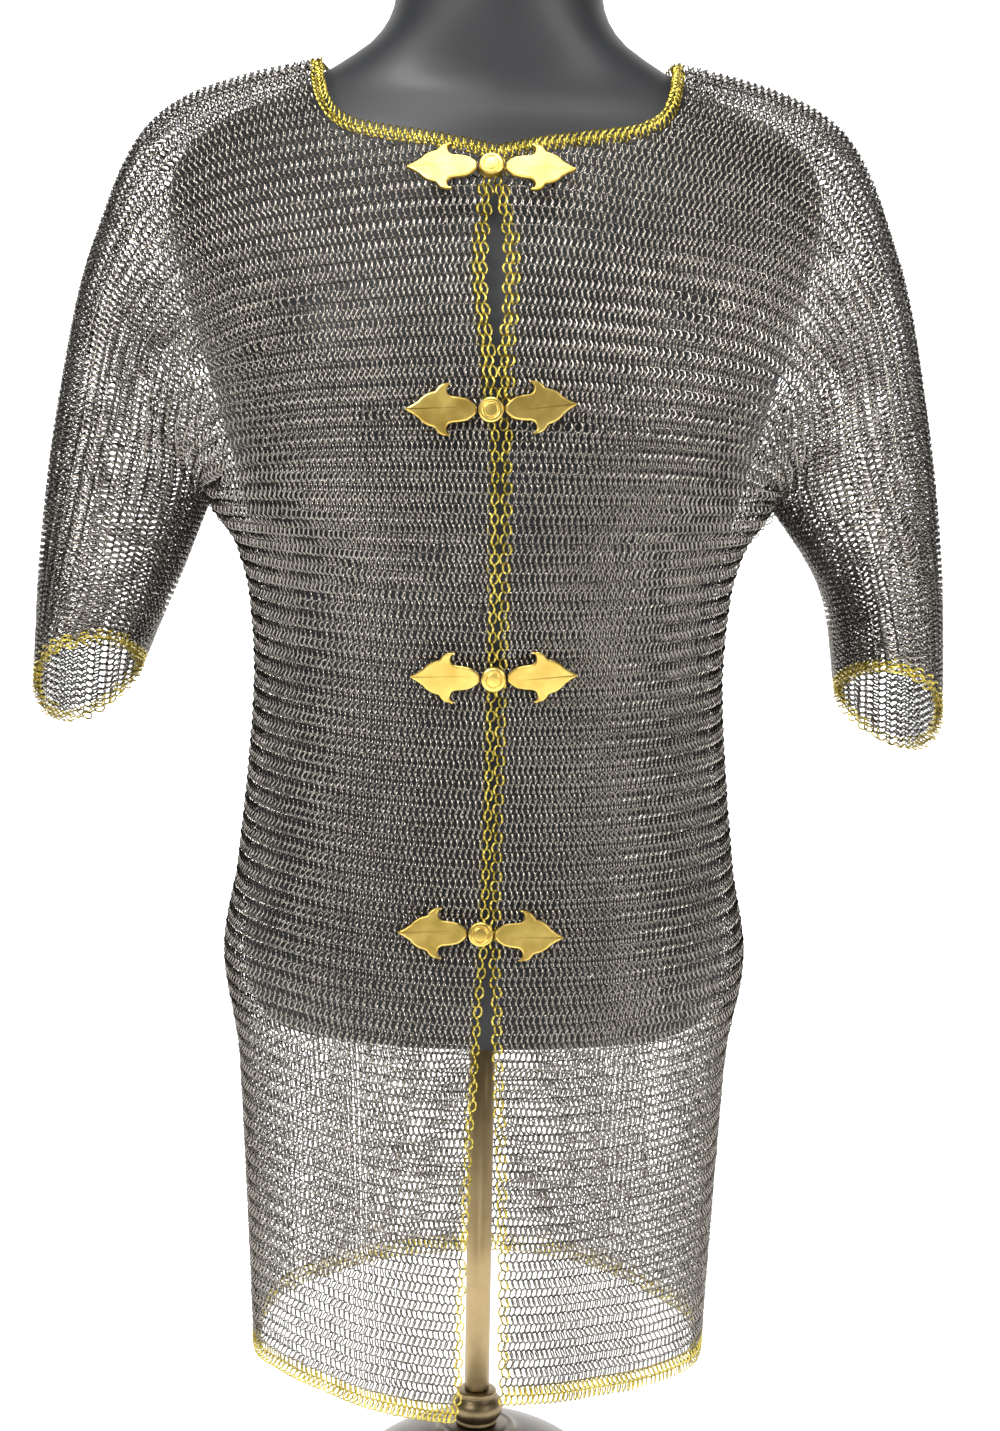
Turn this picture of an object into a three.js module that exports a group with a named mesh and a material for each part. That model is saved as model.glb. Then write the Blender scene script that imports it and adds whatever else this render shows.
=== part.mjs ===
// A chainmail hauberk with short sleeves and an open front, fastened by four cast brass clasps
// and worn by a limbless dress form on a pole with a domed foot.
//
// Millimetres. +Z is up, the front faces -Y, the wearer's left is +X, and the foot rests on Z = 0.
//
// The hauberk is T-cut: each row of rings runs from the front opening across the chest and on down
// the sleeve. So the cloth is one surface with two coordinates, and every panel is a stretch of it:
//   u  counts the columns of rings outwards: 0 at the centre, SIDE at the side line and armhole,
//      CUFF at the cuff. It is negative on the wearer's right.
//   v  is measured down the cloth, away from the shoulder line: 0 there, ARMPIT_V at the armpit
//      and HEM_V at the hem.
import * as THREE from "three";

// ---- Driving sizes ----------------------------------------------------------------------------

const MAIL_THICKNESS = 4; // two layers of leaning rings
const SEAM_GAP = 0.36;
const SIDE = 4;
const CUFF = 6;
const ARMPIT_Z = 655;
const ARMPIT_V = 300;
const HEM_Z = 125;
const HEM_V = ARMPIT_V + ARMPIT_Z - HEM_Z;
const SECTION_POWER = 2.3; // a squarish oval, as a torso is
const EDGING = 8; // two rows of brass rings

// The mail's mid-surface below the armpits, at a few heights.
const TORSO = [
  { z: 655, halfWidth: 174, front: 120, back: 110 },
  { z: 632, halfWidth: 156, front: 117, back: 107 },
  { z: 605, halfWidth: 146, front: 112, back: 102 },
  { z: 555, halfWidth: 142, front: 107, back: 99 },
  { z: 500, halfWidth: 145, front: 108, back: 104 },
  { z: 430, halfWidth: 152, front: 113, back: 118 },
  { z: 378, halfWidth: 160, front: 118, back: 128.5 },
  { z: 320, halfWidth: 151, front: 116, back: 125 },
  { z: 240, halfWidth: 146, front: 113, back: 118 },
  { z: 125, halfWidth: 141, front: 108, back: 110 },
];

// Columns of rings over the shoulder, from the centre (u = 0) to the armhole, with the steps of u one
// apart. Each crosses the shoulder line at its top and ends at the armpit's level. reach: how far
// it swings forward or back as it leaves the shoulder line. low: how far it swings out just above
// the armpit's level. drop and rise: how steeply it leaves either end. lean: how far it leans outwards.
const COLUMNS = [
  { topX: 0, topZ: 932, drop: 10, frontReach: 76, backReach: 108, lowFront: 18, lowBack: 30, rise: 88, lean: 0 },
  { topX: 97, topZ: 920, drop: 8, frontReach: 76, backReach: 106, lowFront: 18, lowBack: 30, rise: 88, lean: 3 },
  { topX: 198, topZ: 887, drop: 6, frontReach: 78, backReach: 98, lowFront: 20, lowBack: 28, rise: 84, lean: 6 },
  { topX: 239, topZ: 812, drop: 6, frontReach: 88, backReach: 96, lowFront: 34, lowBack: 38, rise: 56, lean: 12 },
];

// Columns round the sleeve, from the armhole (u = SIDE) to the cuff, each from the outer side of the
// arm to the inner side. The lifts raise or lower it near its outer and inner ends, in front and behind.
const SLEEVE_COLUMNS = [
  {
    outer: { x: 260, z: 720 },
    inner: { x: 174, z: 655 },
    front: { reach: 104, outerLift: 0, innerLift: 0 },
    back: { reach: 106, outerLift: 0, innerLift: 0 },
  },
  {
    outer: { x: 272, z: 624 },
    inner: { x: 201, z: 605 },
    front: { reach: 104, outerLift: 12, innerLift: 8 },
    back: { reach: 110, outerLift: -13, innerLift: -9 },
  },
  {
    outer: { x: 277, z: 528 },
    inner: { x: 221, z: 552 },
    front: { reach: 98, outerLift: 48, innerLift: 30 },
    back: { reach: 112, outerLift: -56, innerLift: -34 },
  },
];
const SHOULDER_Y = 3; // the shoulder line lies a little behind the middle

// The two sleeves don't hang quite alike. How far each one's inner side stands further out at the
// middle of the sleeve, and how much lower its cuff hangs.
const HANG = {
  left: { innerOut: 6, cuffDrop: 7 },
  right: { innerOut: -6, cuffDrop: -3 },
};

// The neckline, in columns and millimetres of cloth: a squarish scoop in front that dips to the
// centre, and a rounder one behind.
const NECK = {
  u: 1.07,
  columnWidth: 95, // a step of u at the neck
  front: { v: 76, dip: 24, power: 4 },
  back: { v: 62, dip: 0, power: 2.4 },
};

// The front opening, by height: half its width and how far its middle wanders to the wearer's left.
const OPENING = [
  { z: 860, half: 0.4, middle: -1 },
  { z: 836, half: 0.4, middle: -1 },
  { z: 815, half: 3.2, middle: 0 },
  { z: 790, half: 4.4, middle: 0 },
  { z: 765, half: 3.0, middle: 1 },
  { z: 744, half: 0.4, middle: 2 },
  { z: 700, half: 0.4, middle: 4.5 },
  { z: 560, half: 0.4, middle: 4.5 },
  { z: 400, half: 0.4, middle: 2.5 },
  { z: 375, half: 2.4, middle: 2 },
  { z: 284, half: 6.6, middle: 2 },
  { z: 200, half: 9.6, middle: 2 },
  { z: 100, half: 11.8, middle: 2 },
];
const CORNER_SAG = { left: 2, right: 14 }; // the front corners of the hem hang lower than its sides
const BACK_HEM_RISE = 14;

// Soft upright folds where the skirt falls free of the form.
const FOLDS = [
  { u: -3.1, width: 0.36, depth: 3.0, back: false },
  { u: -1.9, width: 0.34, depth: -2.2, back: false },
  { u: 1.5, width: 0.36, depth: -2.4, back: false },
  { u: 2.9, width: 0.45, depth: 2.8, back: false },
  { u: -2.6, width: 0.5, depth: 3.4, back: true },
  { u: -0.7, width: 0.4, depth: -2.6, back: true },
  { u: 1.1, width: 0.5, depth: 3.0, back: true },
  { u: 2.8, width: 0.42, depth: -2.8, back: true },
];
const FOLD_TOP_Z = 350;

// The dress form, section by section.
const FORM = [
  { z: 338, halfWidth: 137, front: 98, back: 104, power: 2.3 },
  { z: 350, halfWidth: 145, front: 105, back: 112, power: 2.3 },
  { z: 378, halfWidth: 150, front: 107, back: 117, power: 2.3 },
  { z: 430, halfWidth: 145, front: 103, back: 107, power: 2.3 },
  { z: 500, halfWidth: 138, front: 97, back: 93, power: 2.3 },
  { z: 555, halfWidth: 135, front: 96, back: 88, power: 2.3 },
  { z: 600, halfWidth: 137, front: 101, back: 91, power: 2.3 },
  { z: 655, halfWidth: 150, front: 109, back: 99, power: 2.3 },
  { z: 700, halfWidth: 163, front: 110, back: 103, power: 2.25 },
  { z: 750, halfWidth: 178, front: 103, back: 105, power: 2.2 },
  { z: 800, halfWidth: 192, front: 88, back: 100, power: 2.1 },
  { z: 835, halfWidth: 197, front: 72, back: 92, power: 2.0 },
  { z: 860, halfWidth: 190, front: 60, back: 83, power: 1.85 },
  { z: 880, halfWidth: 170, front: 56, back: 70, power: 1.7 },
  { z: 896, halfWidth: 136, front: 50, back: 61, power: 1.6 },
  { z: 908, halfWidth: 104, front: 49, back: 58, power: 1.7 },
  { z: 918, halfWidth: 82, front: 50, back: 57, power: 1.85 },
  { z: 930, halfWidth: 68, front: 52, back: 57, power: 2.0 },
  { z: 945, halfWidth: 62, front: 54, back: 57, power: 2.0 },
  { z: 962, halfWidth: 61, front: 55, back: 57, power: 2.0 },
];
const NECK_CAP = { height: 7, lip: 2 };

const POLE_RADIUS = 8;
const COLLAR = { bottom: 64, top: 86, radius: 17 };
const FOOT = { radius: 105, domeRadius: 90, height: 63.5 };

// Each clasp: how far down the front it sits, how far to the wearer's left, and how much its left
// leaf is tipped, in degrees.
const CLASPS = [
  { name: "collar", v: 115, x: -3, tip: 0 },
  { name: "chest", v: 246, x: -1, tip: 5 },
  { name: "waist", v: 394, x: 3, tip: 3 },
  { name: "hip", v: 542, x: -2, tip: -2 },
];
const LEAF = { length: 47, barb: 14.2, tail: 6.6, thickness: 2.6, bevel: 0.6, yaw: 3.2 };
const BOSS = { radius: 7.1, height: 4.6, groove: 4.3 };
const CLASP_CLEAR = 1.8; // the wire loops behind a clasp that hold it to the mail

// Grid steps of the panels.
const STEPS_ABOVE_ARMPIT = 11; // and in half a sleeve's circumference
const STEPS_BELOW_ARMPIT = 16;
const NECK_STEPS = 5; // of the steps across half a body, those that start at the neckline
const HALF_BODY_STEPS = 12;
const SLEEVE_STEPS_DOWN = 7;
const FORM_SIDES = 40;
const FOOT_SIDES = 48;
const POLE_SIDES = 24;
const BOSS_SIDES = 24;

// ---- Materials --------------------------------------------------------------------------------

const MAIL_STEEL = new THREE.MeshStandardMaterial({ color: 0x6f6c68, roughness: 0.45, metalness: 0.9 });
const RING_BRASS = new THREE.MeshStandardMaterial({ color: 0xc9b44a, roughness: 0.35, metalness: 0.9 });
const CAST_BRASS = new THREE.MeshStandardMaterial({ color: 0xd9a93f, roughness: 0.25, metalness: 1 });
const FORM_LACQUER = new THREE.MeshStandardMaterial({ color: 0x2b2c2f, roughness: 0.5, metalness: 0.1 });
const AGED_BRASS = new THREE.MeshStandardMaterial({ color: 0x76694c, roughness: 0.4, metalness: 0.8 });
const CAST_IRON = new THREE.MeshStandardMaterial({ color: 0x4a4540, roughness: 0.45, metalness: 0.6 });

// ---- The cloth's surface ----------------------------------------------------------------------

// A smooth value between the four neighbours a, b, c, d, at share t of the way from b to c.
function smoothBetween(a, b, c, d, t) {
  const bend = 2 * a - 5 * b + 4 * c - d + t * (3 * (b - c) + d - a);
  return b + 0.5 * t * (c - a + t * bend);
}

// The named value of a table at height z, smooth from row to row. The table runs downwards or upwards.
function tableValue(table, name, z) {
  const rising = table[1].z > table[0].z;
  const rows = rising ? table : [...table].reverse();
  const last = rows.length - 2;
  let i = rows.findIndex((row) => row.z > z) - 1;
  if (i === -2) i = last;
  i = Math.max(i, 0);
  const t = THREE.MathUtils.clamp((z - rows[i].z) / (rows[i + 1].z - rows[i].z), 0, 1);
  const at = (k) => rows[THREE.MathUtils.clamp(k, 0, rows.length - 1)][name];
  return smoothBetween(at(i - 1), at(i), at(i + 1), at(i + 2), t);
}

// A point of a quarter of a squarish oval, from its front or back centre (0) to its side (1), by
// length along it.
function quarterPoint(halfWidth, depth, power, share) {
  const steps = 48;
  const points = [];
  for (let i = 0; i <= steps; i++) {
    const angle = (i / steps) * (Math.PI / 2);
    const x = halfWidth * Math.sin(angle) ** (2 / power);
    const y = depth * Math.cos(angle) ** (2 / power);
    points.push(new THREE.Vector2(x, y));
  }
  const lengths = [0];
  for (let i = 1; i <= steps; i++) lengths.push(lengths[i - 1] + points[i].distanceTo(points[i - 1]));
  const wanted = THREE.MathUtils.clamp(share, 0, 1) * lengths[steps];
  let i = 1;
  while (i < steps && lengths[i] < wanted) i++;
  const t = (wanted - lengths[i - 1]) / (lengths[i] - lengths[i - 1]);
  return points[i - 1].clone().lerp(points[i], t);
}

// The torso's section at height z: column u (from 0 to SIDE) on its front or back.
function torsoPoint(u, z, back) {
  const depth = tableValue(TORSO, back ? "back" : "front", z);
  const p = quarterPoint(tableValue(TORSO, "halfWidth", z), depth, SECTION_POWER, u / SIDE);
  return new THREE.Vector3(p.x, back ? p.y : -p.y, z);
}

// A body column's curve from the shoulder line down to the armpit's level.
function bodyColumn(index, back) {
  const c = COLUMNS[index];
  const way = back ? 1 : -1;
  const low = torsoPoint(index, ARMPIT_Z, back);
  const top = new THREE.Vector3(c.topX, SHOULDER_Y, c.topZ);
  const topHandle = top.clone().add(new THREE.Vector3(0, way * (back ? c.backReach : c.frontReach), -c.drop));
  const lowHandle = low.clone().add(new THREE.Vector3(c.lean, way * (back ? c.lowBack : c.lowFront), c.rise));
  return new THREE.CubicBezierCurve3(top, topHandle, lowHandle, low);
}

// A sleeve column's curve from the outer side of the arm round to the inner side.
function sleeveColumn(index, back, { innerOut, cuffDrop }) {
  const { outer, inner, [back ? "back" : "front"]: swing } = SLEEVE_COLUMNS[index];
  const reach = back ? swing.reach : -swing.reach;
  const drop = index === 2 ? cuffDrop : 0;
  const out = index === 1 ? innerOut : 0;
  const top = new THREE.Vector3(outer.x, SHOULDER_Y, outer.z - drop);
  const low = new THREE.Vector3(inner.x + out, 0, inner.z - drop);
  const topHandle = top.clone().add(new THREE.Vector3(0, reach, swing.outerLift));
  const lowHandle = low.clone().add(new THREE.Vector3(0, reach, swing.innerLift));
  return new THREE.CubicBezierCurve3(top, topHandle, lowHandle, low);
}

function allColumns(hang) {
  return [false, true].map((back) => [
    ...COLUMNS.map((_, i) => bodyColumn(i, back)),
    ...SLEEVE_COLUMNS.map((_, i) => sleeveColumn(i, back, hang)),
  ]);
}

const CURVES = { left: allColumns(HANG.left), right: allColumns(HANG.right) };

// A point above the armpit's level, at column u (0 to CUFF) and share w of the way down from the
// shoulder line, before it is mirrored to its own side.
function upperPoint(u, w, back, side) {
  const curves = CURVES[side > 0 ? "left" : "right"][back ? 1 : 0];
  const i = Math.min(Math.floor(u), CUFF - 1);
  const at = (k) => curves[k].getPointAt(w);
  const b = at(i);
  const c = at(i + 1);
  const a = i > 0 ? at(i - 1) : at(1).multiply(new THREE.Vector3(-1, 1, 1));
  const d = i + 2 <= CUFF ? at(i + 2) : c.clone().multiplyScalar(2).sub(b);
  // Under the arm the sleeve starts with a crease of its own and doesn't follow on from the body.
  if (i === SIDE) a.lerp(b.clone().multiplyScalar(2).sub(c), w ** 6);
  const t = u - i;
  return new THREE.Vector3(
    smoothBetween(a.x, b.x, c.x, d.x, t),
    smoothBetween(a.y, b.y, c.y, d.y, t),
    smoothBetween(a.z, b.z, c.z, d.z, t),
  );
}

// How far the skirt's folds push the cloth outwards here. They die out at the side line.
function foldDepth(u, z, back) {
  if (z > FOLD_TOP_Z) return 0;
  const growth = (FOLD_TOP_Z - z) / (FOLD_TOP_Z - HEM_Z);
  let depth = 0;
  for (const fold of FOLDS) {
    if (fold.back !== back) continue;
    depth += fold.depth * Math.exp(-(((u - fold.u) / fold.width) ** 2));
  }
  const nearSide = (Math.abs(u) / SIDE) ** 16;
  return depth * growth * (2 - growth) * (1 - nearSide);
}

// A point below the armpit's level, at column u (0 to SIDE) on the given side of the body.
function lowerPoint(u, v, back, side) {
  const down = (v - ARMPIT_V) / (HEM_V - ARMPIT_V);
  const z = ARMPIT_Z + (HEM_Z - ARMPIT_Z) * down;
  const p = torsoPoint(u, z, back);
  const blend = Math.max(0, 1 - (v - ARMPIT_V) / 60) ** 2;
  if (blend > 0) {
    const meet = upperPoint(u, 1, back, side).sub(torsoPoint(u, ARMPIT_Z, back));
    p.addScaledVector(meet, blend);
  }
  const outwards = new THREE.Vector3(p.x, p.y * 1.6, 0).normalize();
  p.addScaledVector(outwards, foldDepth(side * u, z, back));
  const nearCentre = Math.max(0, 1 - (u / 3) ** 2) ** 2;
  const sag = side < 0 ? CORNER_SAG.right : CORNER_SAG.left;
  p.z += (back ? BACK_HEM_RISE : -sag) * nearCentre * down ** 2;
  return p;
}

// The mail's mid-surface, on the front or back and on one side: 1 for the wearer's left, -1 for the right.
function clothPoint(u, v, back, side) {
  const p = v <= ARMPIT_V ? upperPoint(u, v / ARMPIT_V, back, side) : lowerPoint(u, v, back, side);
  p.x *= side;
  if (!back && u < 1) {
    const shift = side * tableValue(OPENING, "half", p.z) + tableValue(OPENING, "middle", p.z);
    p.x += shift * (1 - u) ** 2;
  }
  return p;
}

// ---- Walls ------------------------------------------------------------------------------------

// The two triangles' worth of corners of each cell of a grid, with the direction out of the cloth.
function gridCells({ points, closed, flip }) {
  const cells = [];
  const width = points[0].length;
  for (let r = 0; r + 1 < points.length; r++) {
    for (let c = 0; c < (closed ? width : width - 1); c++) {
      const next = (c + 1) % width;
      const corners = [points[r][c], points[r + 1][c], points[r + 1][next], points[r][next]];
      const down = corners[2].clone().sub(corners[0]);
      const across = corners[3].clone().sub(corners[1]);
      const normal = down.cross(across).setLength(flip ? -1 : 1);
      cells.push({ corners, normal });
    }
  }
  return cells;
}

const keyOf = (p) => [p.x, p.y, p.z].map((n) => Math.round(n * 50)).join(",");

// Directions out of the cloth, averaged over every panel that meets at a point, so that
// neighbouring walls share the plane of their seam.
function sharedNormals(grids) {
  const normals = new Map();
  for (const grid of grids) {
    for (const { corners, normal } of gridCells(grid)) {
      for (const corner of corners) {
        const key = keyOf(corner);
        if (!normals.has(key)) normals.set(key, new THREE.Vector3());
        normals.get(key).add(normal);
      }
    }
  }
  for (const normal of normals.values()) normal.normalize();
  return normals;
}

// Moves a grid's outer points inwards by its share of the seam's gap, square to the seam.
function insetBorders({ points, closed }, normals, gap) {
  const moved = points.map((row) => row.map((p) => p.clone()));
  const pull = (r, c, towardRow, towardColumn) => {
    const step = points[towardRow][towardColumn].clone().sub(points[r][c]);
    step.projectOnPlane(normals.get(keyOf(points[r][c])));
    moved[r][c].add(step.setLength(gap));
  };
  const lastRow = points.length - 1;
  const lastColumn = points[0].length - 1;
  for (let c = 0; c <= lastColumn; c++) {
    pull(0, c, 1, c);
    pull(lastRow, c, lastRow - 1, c);
  }
  if (closed) return moved;
  for (let r = 0; r <= lastRow; r++) {
    pull(r, 0, r, 1);
    pull(r, lastColumn, r, lastColumn - 1);
  }
  return moved;
}

// A closed wall of the mail's thickness, half of it on each side of the grid.
function wallGeometry(grid, normals, gap) {
  const { closed, flip } = grid;
  const mid = insetBorders(grid, normals, gap);
  const height = mid.length;
  const width = mid[0].length;
  const vertices = [];
  for (const sign of [1, -1]) {
    for (let r = 0; r < height; r++) {
      for (let c = 0; c < width; c++) {
        const normal = normals.get(keyOf(grid.points[r][c]));
        vertices.push(mid[r][c].clone().addScaledVector(normal, (sign * MAIL_THICKNESS) / 2));
      }
    }
  }
  const outer = (r, c) => r * width + (c % width);
  const inner = (r, c) => height * width + outer(r, c);
  const index = [];
  // Each cell is halved along its shorter diagonal, which leaves mirrored panels alike.
  const quad = (...corners) => {
    const [a, b, c, d] = flip ? corners.reverse() : corners;
    const straight = vertices[a].distanceTo(vertices[c]) <= vertices[b].distanceTo(vertices[d]);
    if (straight) index.push(a, b, c, a, c, d);
    else index.push(b, c, d, b, d, a);
  };
  const lastRow = height - 1;
  const lastColumn = closed ? width : width - 1;
  for (let r = 0; r < lastRow; r++) {
    for (let c = 0; c < lastColumn; c++) {
      quad(outer(r, c), outer(r + 1, c), outer(r + 1, c + 1), outer(r, c + 1));
      quad(inner(r, c), inner(r, c + 1), inner(r + 1, c + 1), inner(r + 1, c));
    }
    if (closed) continue;
    quad(outer(r, 0), inner(r, 0), inner(r + 1, 0), outer(r + 1, 0));
    quad(outer(r, lastColumn), outer(r + 1, lastColumn), inner(r + 1, lastColumn), inner(r, lastColumn));
  }
  for (let c = 0; c < lastColumn; c++) {
    quad(outer(0, c), outer(0, c + 1), inner(0, c + 1), inner(0, c));
    quad(outer(lastRow, c), inner(lastRow, c), inner(lastRow, c + 1), outer(lastRow, c + 1));
  }
  return geometryFrom(vertices, index);
}

function geometryFrom(vertices, index) {
  const geometry = new THREE.BufferGeometry().setFromPoints(vertices);
  geometry.setIndex(index);
  geometry.computeVertexNormals();
  return geometry;
}

// ---- Panels and edgings -----------------------------------------------------------------------

const evenly = (from, to, steps) =>
  Array.from({ length: steps + 1 }, (_, i) => THREE.MathUtils.lerp(from, to, i / steps));

// A point of the neckline, or of the line that runs a number of millimetres outside it, from the
// centre (0) to the shoulder line (1).
function neckPoint(share, outside, back) {
  const angle = (1 - share) * (Math.PI / 2);
  const { v, dip, power } = back ? NECK.back : NECK.front;
  const across = Math.abs(Math.cos(angle)) ** (2 / power);
  const down = Math.abs(Math.sin(angle)) ** (2 / power);
  return {
    u: (NECK.u + outside / NECK.columnWidth) * across,
    v: (v + outside) * down + dip * (1 - across),
  };
}

// A front edging's width, in columns. The columns draw together from the neck to the armpit.
function edgingColumns(v) {
  const columnWidth = THREE.MathUtils.mapLinear(Math.min(v, ARMPIT_V), 0, ARMPIT_V, 97, 58);
  return EDGING / columnWidth;
}

// Where step i of a half body starts, at the neckline's edging or on the shoulder line.
function topOfStep(i, back) {
  if (i === 0 && !back) {
    const { v } = neckPoint(0, EDGING, false);
    return { u: edgingColumns(v), v };
  }
  if (i <= NECK_STEPS) return neckPoint(i / NECK_STEPS, EDGING, back);
  const share = (i - NECK_STEPS) / (HALF_BODY_STEPS - NECK_STEPS);
  return { u: THREE.MathUtils.lerp(NECK.u + EDGING / NECK.columnWidth, SIDE, share), v: 0 };
}

// The (u, v) of half a body's grid, at step i outwards and step r downwards.
function halfBodyPlace(i, r, back) {
  const level = (SIDE * i) / HALF_BODY_STEPS;
  if (r <= STEPS_ABOVE_ARMPIT) {
    const share = r / STEPS_ABOVE_ARMPIT;
    const top = topOfStep(i, back);
    const v = THREE.MathUtils.lerp(top.v, ARMPIT_V, share);
    const straight = i === 0 && !back ? edgingColumns(v) : level;
    return { u: THREE.MathUtils.lerp(top.u, straight, share), v };
  }
  const share = (r - STEPS_ABOVE_ARMPIT) / STEPS_BELOW_ARMPIT;
  const v = THREE.MathUtils.lerp(ARMPIT_V, HEM_V - EDGING, share);
  return { u: i === 0 && !back ? edgingColumns(v) : level, v };
}

const BODY_ROWS = STEPS_ABOVE_ARMPIT + STEPS_BELOW_ARMPIT;

// One half of the front or back as a grid. side: 1 for the wearer's left, -1 for the right.
function halfBody(side, back) {
  const points = [];
  for (let r = 0; r <= BODY_ROWS; r++) {
    const row = [];
    for (let i = 0; i <= HALF_BODY_STEPS; i++) {
      const { u, v } = halfBodyPlace(i, r, back);
      row.push(clothPoint(u, v, back, side));
    }
    points.push(side > 0 ? row : row.reverse());
  }
  return points;
}

function frontPanel(name, side) {
  return { name, points: halfBody(side, false), closed: false, flip: false };
}

function backPanel(name) {
  const right = halfBody(-1, true);
  const left = halfBody(1, true);
  const points = right.map((row, r) => [...row, ...left[r].slice(1)]);
  return { name, points, closed: false, flip: true };
}

// The brass edging down one side of the front opening.
function frontEdging(name, side) {
  const places = [];
  for (let r = 0; r <= BODY_ROWS; r++) places.push(halfBodyPlace(0, r, false));
  places.push({ u: edgingColumns(HEM_V), v: HEM_V });
  const points = places.map(({ u, v }) => {
    const row = [clothPoint(0, v, false, side), clothPoint(u, v, false, side)];
    return side > 0 ? row : row.reverse();
  });
  return { name, points, closed: false, flip: false };
}

// The neckline's edging: from the front opening round the wearer's left shoulder and behind the
// neck to the other side of the opening.
function neckEdging(name) {
  const line = (outside) => {
    const places = [];
    for (const [side, back] of [[1, false], [1, true], [-1, true], [-1, false]]) {
      const run = [];
      for (let i = 0; i <= NECK_STEPS; i++) run.push({ ...neckPoint(i / NECK_STEPS, outside, back), side, back });
      if (!back) run.splice(1, 0, { u: topOfStep(0, false).u, v: run[0].v, side, back });
      const outwards = side > 0 !== back;
      places.push(...(outwards ? run : run.reverse()).slice(places.length ? 1 : 0));
    }
    return places.map((p) => clothPoint(p.u, p.v, p.back, p.side));
  };
  return { name, points: [line(0), line(EDGING)], closed: false, flip: false };
}

// The hem's edging, from one front edging round the back to the other.
function hemEdging(name) {
  const line = (v) => {
    const runs = [1, -1].map((side) => {
      const front = [];
      for (let i = 0; i <= HALF_BODY_STEPS; i++) {
        const { u } = halfBodyPlace(i, BODY_ROWS, false);
        front.push(clothPoint(u, v, false, side));
      }
      const back = [];
      for (let i = HALF_BODY_STEPS - 1; i >= 0; i--) {
        back.push(clothPoint((SIDE * i) / HALF_BODY_STEPS, v, true, side));
      }
      return [...front, ...back];
    });
    return [...runs[0], ...runs[1].reverse().slice(1)];
  };
  return { name, points: [line(HEM_V - EDGING), line(HEM_V)], closed: false, flip: false };
}

// The column at which a sleeve's edging starts, where the sleeve is this far round.
function cuffColumn(w, back, side) {
  const step = 0.1;
  const length = upperPoint(CUFF, w, back, side).distanceTo(upperPoint(CUFF - step, w, back, side));
  return CUFF - (EDGING * step) / length;
}

// A sleeve, or its edging, as a tube of rows that run round the arm. between: the share of the way
// from the armhole to the edging's start at which each row lies, or past it up to 2 at the cuff.
function sleeveTube(name, side, between) {
  const points = between.map((share) => {
    const row = [];
    for (let i = 0; i < 2 * STEPS_ABOVE_ARMPIT; i++) {
      const back = i > STEPS_ABOVE_ARMPIT;
      const w = (back ? 2 * STEPS_ABOVE_ARMPIT - i : i) / STEPS_ABOVE_ARMPIT;
      const start = cuffColumn(w, back, side);
      const u = share <= 1 ? THREE.MathUtils.lerp(SIDE, start, share) : THREE.MathUtils.lerp(start, CUFF, share - 1);
      row.push(clothPoint(u, w * ARMPIT_V, back, side));
    }
    return row;
  });
  return { name, points, closed: true, flip: side > 0 };
}

// ---- The dress form and its stand ---------------------------------------------------------------

function formRing({ z, halfWidth, front, back, power }) {
  const ring = [];
  for (let i = 0; i < FORM_SIDES; i++) {
    const angle = (i / FORM_SIDES) * 2 * Math.PI;
    const sine = Math.sin(angle);
    const cosine = Math.cos(angle);
    const y = Math.abs(sine) ** (2 / power) * (sine < 0 ? -front : back);
    ring.push(new THREE.Vector3(Math.sign(cosine) * Math.abs(cosine) ** (2 / power) * halfWidth, y, z));
  }
  return ring;
}

// A closed solid through rings of points, bottom ring first.
function loft(rings) {
  const sides = rings[0].length;
  const index = [];
  for (let r = 0; r + 1 < rings.length; r++) {
    for (let i = 0; i < sides; i++) {
      const a = r * sides + i;
      const b = r * sides + ((i + 1) % sides);
      index.push(a, b, b + sides, a, b + sides, a + sides);
    }
  }
  const top = (rings.length - 1) * sides;
  for (let i = 1; i + 1 < sides; i++) {
    index.push(0, i + 1, i);
    index.push(top, top + i, top + i + 1);
  }
  return geometryFrom(rings.flat(), index);
}

function dressForm() {
  return namedMesh("dress_form", loft(FORM.map(formRing)), FORM_LACQUER);
}

function neckCap() {
  const top = FORM[FORM.length - 1];
  const bottom = top.z + SEAM_GAP;
  const grown = (dz, d) => ({
    z: bottom + dz,
    halfWidth: top.halfWidth + d,
    front: top.front + d,
    back: top.back + d,
    power: top.power,
  });
  const rings = [
    grown(0, 0),
    grown(1, NECK_CAP.lip),
    grown(NECK_CAP.height - 3, NECK_CAP.lip),
    grown(NECK_CAP.height - 1, 0),
    grown(NECK_CAP.height, -6),
  ];
  return namedMesh("neck_cap", loft(rings.map(formRing)), FORM_LACQUER);
}

// A turned solid from its profile of [radius, height] pairs, which starts and ends on the axis.
function turned(name, profile, material, sides) {
  const points = profile.map(([radius, height]) => new THREE.Vector2(radius, height));
  const geometry = new THREE.LatheGeometry(points, sides);
  geometry.rotateX(Math.PI / 2);
  return namedMesh(name, geometry, material);
}

// An arc of a profile, in degrees anticlockwise from straight outwards.
function arcProfile(centreRadius, centreHeight, radius, from, to, steps) {
  return evenly(from, to, steps).map((degrees) => {
    const angle = THREE.MathUtils.degToRad(degrees);
    return [centreRadius + radius * Math.cos(angle), centreHeight + radius * Math.sin(angle)];
  });
}

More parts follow.
